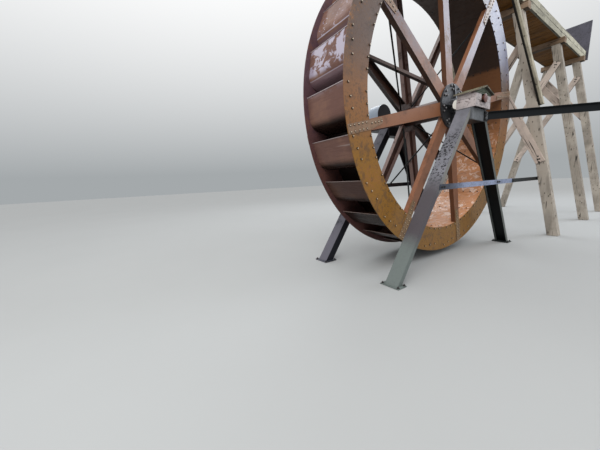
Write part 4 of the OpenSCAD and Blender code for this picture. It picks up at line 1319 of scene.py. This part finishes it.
class WATERWHEEL_OT_bearing_box(bpy.types.Operator):
    """Board up the box over the near bearing"""
    bl_idname = "waterwheel.bearing_box"
    bl_label = "Bearing box"

    def side_boards(self, boards, low, high, eaves):
        """Two boards on each side, one above the other."""
        cut = low.z + (eaves - low.z) * 0.62
        for x in (low.x, high.x - BOX_BOARD):
            lower_end = (x + BOX_BOARD, high.y, cut - BOX_SEAM)
            upper_end = (x + BOX_BOARD, high.y - 0.01, eaves)
            boards.add_box((x, low.y, low.z), lower_end, 1, ragged=0.012)
            boards.add_box((x, low.y + 0.004, cut), upper_end, 1, ragged=0.010)

    def end_boards(self, boards, gables, low, high, eaves):
        """Boards beside, below and above the shaft's hole, the topmost cut to the roof."""
        hole_low, hole_high = SHAFT_Z - 0.075, SHAFT_Z + 0.075
        seam_low, seam_high = hole_low + 0.030, hole_low + 0.033
        tip_half, tip_gap = 0.012, 0.004
        for y, half_hole, reach in ((low.y, 0.098, high.x),
                                    (high.y - BOX_BOARD, 0.075, high.x - BOX_BOARD - 0.001)):
            back = y + BOX_BOARD
            for a, b in ((-reach, -half_hole), (half_hole, reach)):
                boards.add_box((a, y, low.z), (b, back, seam_low), 0, ragged=0.008)
                boards.add_box((a, y, seam_high), (b, back, hole_high), 0, ragged=0.012)
            boards.add_box((-half_hole, y, low.z), (half_hole, back, hole_low), 0, wear=0.6)
            slope = reach / (high.z - eaves)
            upper = ((hole_high + 0.003, eaves, reach, reach),
                     (eaves + BOX_SEAM, high.z - tip_gap, (high.z - eaves - BOX_SEAM) * slope,
                      max(tip_half, tip_gap * slope)))
            for z_low, z_high, half_low, half_high in upper:
                gables.add(*([Vector((sign * half_low, y, z_low)), Vector((sign * half_low, back, z_low)),
                              Vector((sign * half_high, back, z_high)), Vector((sign * half_high, y, z_high))]
                             for sign in (-1, 1)), wear=0.5)

    def round_end(self, x, high_y, low_z, height):
        """Half-round end of a side board."""
        reach, steps = 0.075, 12
        verts = []
        for side in (x, x + BOX_BOARD):
            for i in range(steps + 1):
                turn = math.pi * (i / steps - 0.5)
                verts.append(Vector((side, high_y + reach * math.cos(turn),
                                     low_z + height * (0.42 + 0.33 * math.sin(turn)))))
        count = steps + 1
        faces = [tuple(range(count)), tuple(range(2 * count - 1, count - 1, -1))]
        faces += [(i, i + count, (i + 1) % count + count, (i + 1) % count) for i in range(count)]
        return verts, faces

    def execute(self, context):
        low, high = corners("box_boards")
        roof_low, roof_high = corners("box_roof")
        fall = (roof_high.z - BOX_BOARD - roof_low.z) / roof_high.x
        eaves = roof_high.z - BOX_BOARD - fall * high.x - 0.001
        boards, gables, roof = Timbers(21), Timbers(23), Timbers(22)
        self.side_boards(boards, low, high, eaves)
        self.end_boards(boards, gables, low, high, eaves)
        gables.piece("box_gable_boards", "gable board", "box_timber")
        boards.piece("box_side_boards", "box board", "box_timber", "box_boards")
        ends = [self.round_end(x, high.y, low.z, eaves - low.z) for x in (low.x, high.x - BOX_BOARD)]
        new_piece("box_round_ends", joined(ends), "box end", "frame")

        near_end = [(Vector((0, corners("shaft")[0].y, SHAFT_Z)), (0, -1, 0))]
        disc = heads(near_end, radius=0.086, height=0.016, sides=20)
        new_piece("shaft_end", disc, "shaft end", "wheel", smooth=30)

        for side in (-1, 1):
            for upper, lower in ((0.0, 0.5), (0.5, 1.0)):
                xa, xb = roof_high.x * upper + 0.001, roof_high.x * lower - BOX_SEAM
                za, zb = roof_high.z - xa * fall, roof_high.z - xb * fall
                roof.add(*([Vector((side * xa, y, za - BOX_BOARD)), Vector((side * xb, y, zb - BOX_BOARD)),
                            Vector((side * xb, y, zb)), Vector((side * xa, y, za))]
                           for y in (roof_low.y, roof_high.y)), ragged=0.012, wear=0.8)
        roof.piece("box_roof_boards", "roof board", "box_timber", "box_roof")

        side_nails, end_nails, end_columns = (0.04, 0.12, 0.215), (0.04, 0.16), (-0.29, -0.12, 0.12, 0.29)
        places = [(Vector((x, y, low.z + up)), (out, 0, 0)) for x, out in ((low.x, -1), (high.x, 1))
                  for y in (low.y + 0.03, high.y - 0.04) for up in side_nails]
        places += [(Vector((x, low.y, low.z + up)), (0, -1, 0)) for x in end_columns for up in end_nails]
        nails = heads(places, radius=0.006, height=0.003, sides=8, dome=True)
        new_piece("box_nails", nails, "bolt", "frame")
        return {"FINISHED"}


# Pieces of the launder and its bents

class WATERWHEEL_OT_launder(bpy.types.Operator):
    """Build the launder's boards, its joints and its nails"""
    bl_idname = "waterwheel.launder"
    bl_label = "Launder"

    def execute(self, context):
        joints, seam_share, half_seam = (4.15, 8.1), 0.52, 0.002
        nail_shares, nail_first, nail_pitch = (0.14, 0.38, 0.66, 0.90), 0.08, 0.62
        timber_piece("launder_floor_boards", "launder floor", 31, ["launder_floor"], 0.5, step=0.3)
        places = []
        for node, finish, seed, out in (("launder_near_side", "launder side", 32, -1),
                                        ("launder_far_side", "launder far side", 33, 1)):
            low, high = corners(node)
            side = Timbers(seed)
            seam = low.z + (high.z - low.z) * seam_share
            cuts = [low.x, *joints, high.x]
            for a, b in zip(cuts[:-1], cuts[1:]):
                for z_low, z_high in ((low.z, seam - half_seam), (seam + half_seam, high.z)):
                    side.add_box((a + half_seam, low.y, z_low), (b - half_seam, high.y, z_high), 0, step=0.35)
            side.piece(node + "_boards", finish, "launder_timber", node)
            x = low.x + nail_first
            while x < high.x:
                for share in nail_shares:
                    spot = Vector((x, low.y if out < 0 else high.y, low.z + (high.z - low.z) * share))
                    places.append((spot, (0, out, 0)))
                x += nail_pitch
        nails = heads(places, radius=0.010, height=0.004, sides=8, dome=True)
        new_piece("launder_nails", nails, "bolt", "frame")
        return {"FINISHED"}


class WATERWHEEL_OT_trestles(bpy.types.Operator):
    """Cut the posts, caps, planks and knee struts of the bents"""
    bl_idname = "waterwheel.trestles"
    bl_label = "Trestle bents"

    def plank_places(self, bent):
        """Four bolts at each end of a bent's planks, on the side away from the posts."""
        bolt_reach, bolt_off = (0.06, 0.15), (-0.045, 0.045)
        post_low, post_high = corners(f"bent_{bent}_near_post")
        for solid in loose_solids(f"bent_{bent}_braces"):
            low, high = (centre(end) for end in ends_of(solid))
            x = min(point.x for point in solid)
            out = -1 if x < (post_low.x + post_high.x) / 2 else 1
            face = x if out < 0 else max(point.x for point in solid)
            for end, other in ((low, high), (high, low)):
                way = (other - end).normalized()
                for reach in bolt_reach:
                    for off in bolt_off:
                        spot = end + way * reach
                        yield Vector((face, spot.y, spot.z + off)), (out, 0, 0)

    def execute(self, context):
        kinds = (("cap_timber", "cap", 71, 1.0, 0.01, ("cap",)),
                 ("timbers", "post", 41, 1.3, 0.0, ("near_post", "far_post")),
                 ("planks", "brace plank", 51, 1.0, 0.02, ("braces",)))
        places = []
        for k, bent in enumerate("abc"):
            for name, finish, seed, wear, ragged, parts in kinds:
                nodes = [f"bent_{bent}_{part}" for part in parts]
                timber_piece(f"bent_{bent}_{name}", finish, seed + k, nodes, wear, ragged=ragged)
            places += self.plank_places(bent)
        timber_piece("knee_struts", "knee", 61, ["near_knee", "far_knee"], ragged=0.02)
        bolts = heads(places, radius=0.016, height=0.012, washer=1.5)
        new_piece("bent_bolts", bolts, "bolt", "frame")
        return {"FINISHED"}


class WATERWHEEL_PT_panel(bpy.types.Panel):
    """Lists the pieces and their settings"""
    bl_label = "Water Wheel"
    bl_idname = "WATERWHEEL_PT_panel"
    bl_space_type = "VIEW_3D"
    bl_region_type = "UI"
    bl_category = "Water Wheel"

    def draw(self, context):
        for operator in OPERATORS:
            self.layout.operator(operator.bl_idname)
        for key, group in SETTINGS.items():
            settings = getattr(context.scene, key)
            for name in group.__annotations__:
                self.layout.prop(settings, name)


SETTINGS = {
    "waterwheel_wheel": WheelSettings,
    "waterwheel_steel": SteelSettings,
    "waterwheel_timber": TimberSettings,
    "waterwheel_stage": StageSettings,
}
OPERATORS = [
    WATERWHEEL_OT_stage,
    WATERWHEEL_OT_finishes,
    WATERWHEEL_OT_rim_bolts,
    WATERWHEEL_OT_gusset_rivets,
    WATERWHEEL_OT_buckets,
    WATERWHEEL_OT_sole,
    WATERWHEEL_OT_hubs,
    WATERWHEEL_OT_frame_fittings,
    WATERWHEEL_OT_bearing_box,
    WATERWHEEL_OT_launder,
    WATERWHEEL_OT_trestles,
]


def register():
    for key, group in SETTINGS.items():
        bpy.utils.register_class(group)
        setattr(bpy.types.Scene, key, bpy.props.PointerProperty(type=group))
    for shown in (*OPERATORS, WATERWHEEL_PT_panel):
        bpy.utils.register_class(shown)


def unregister():
    for shown in (WATERWHEEL_PT_panel, *reversed(OPERATORS)):
        bpy.utils.unregister_class(shown)
    for key, group in SETTINGS.items():
        delattr(bpy.types.Scene, key)
        bpy.utils.unregister_class(group)


def main():
    register()
    bpy.ops.waterwheel.stage()
    bpy.ops.waterwheel.finishes()
    bpy.ops.waterwheel.rim_bolts()
    bpy.ops.waterwheel.gusset_rivets()
    bpy.ops.waterwheel.buckets()
    bpy.ops.waterwheel.sole()
    bpy.ops.waterwheel.hubs()
    bpy.ops.waterwheel.frame_fittings()
    bpy.ops.waterwheel.bearing_box()
    bpy.ops.waterwheel.launder()
    bpy.ops.waterwheel.trestles()
    bpy.context.view_layer.update()


if __name__ == "__main__":
    main()
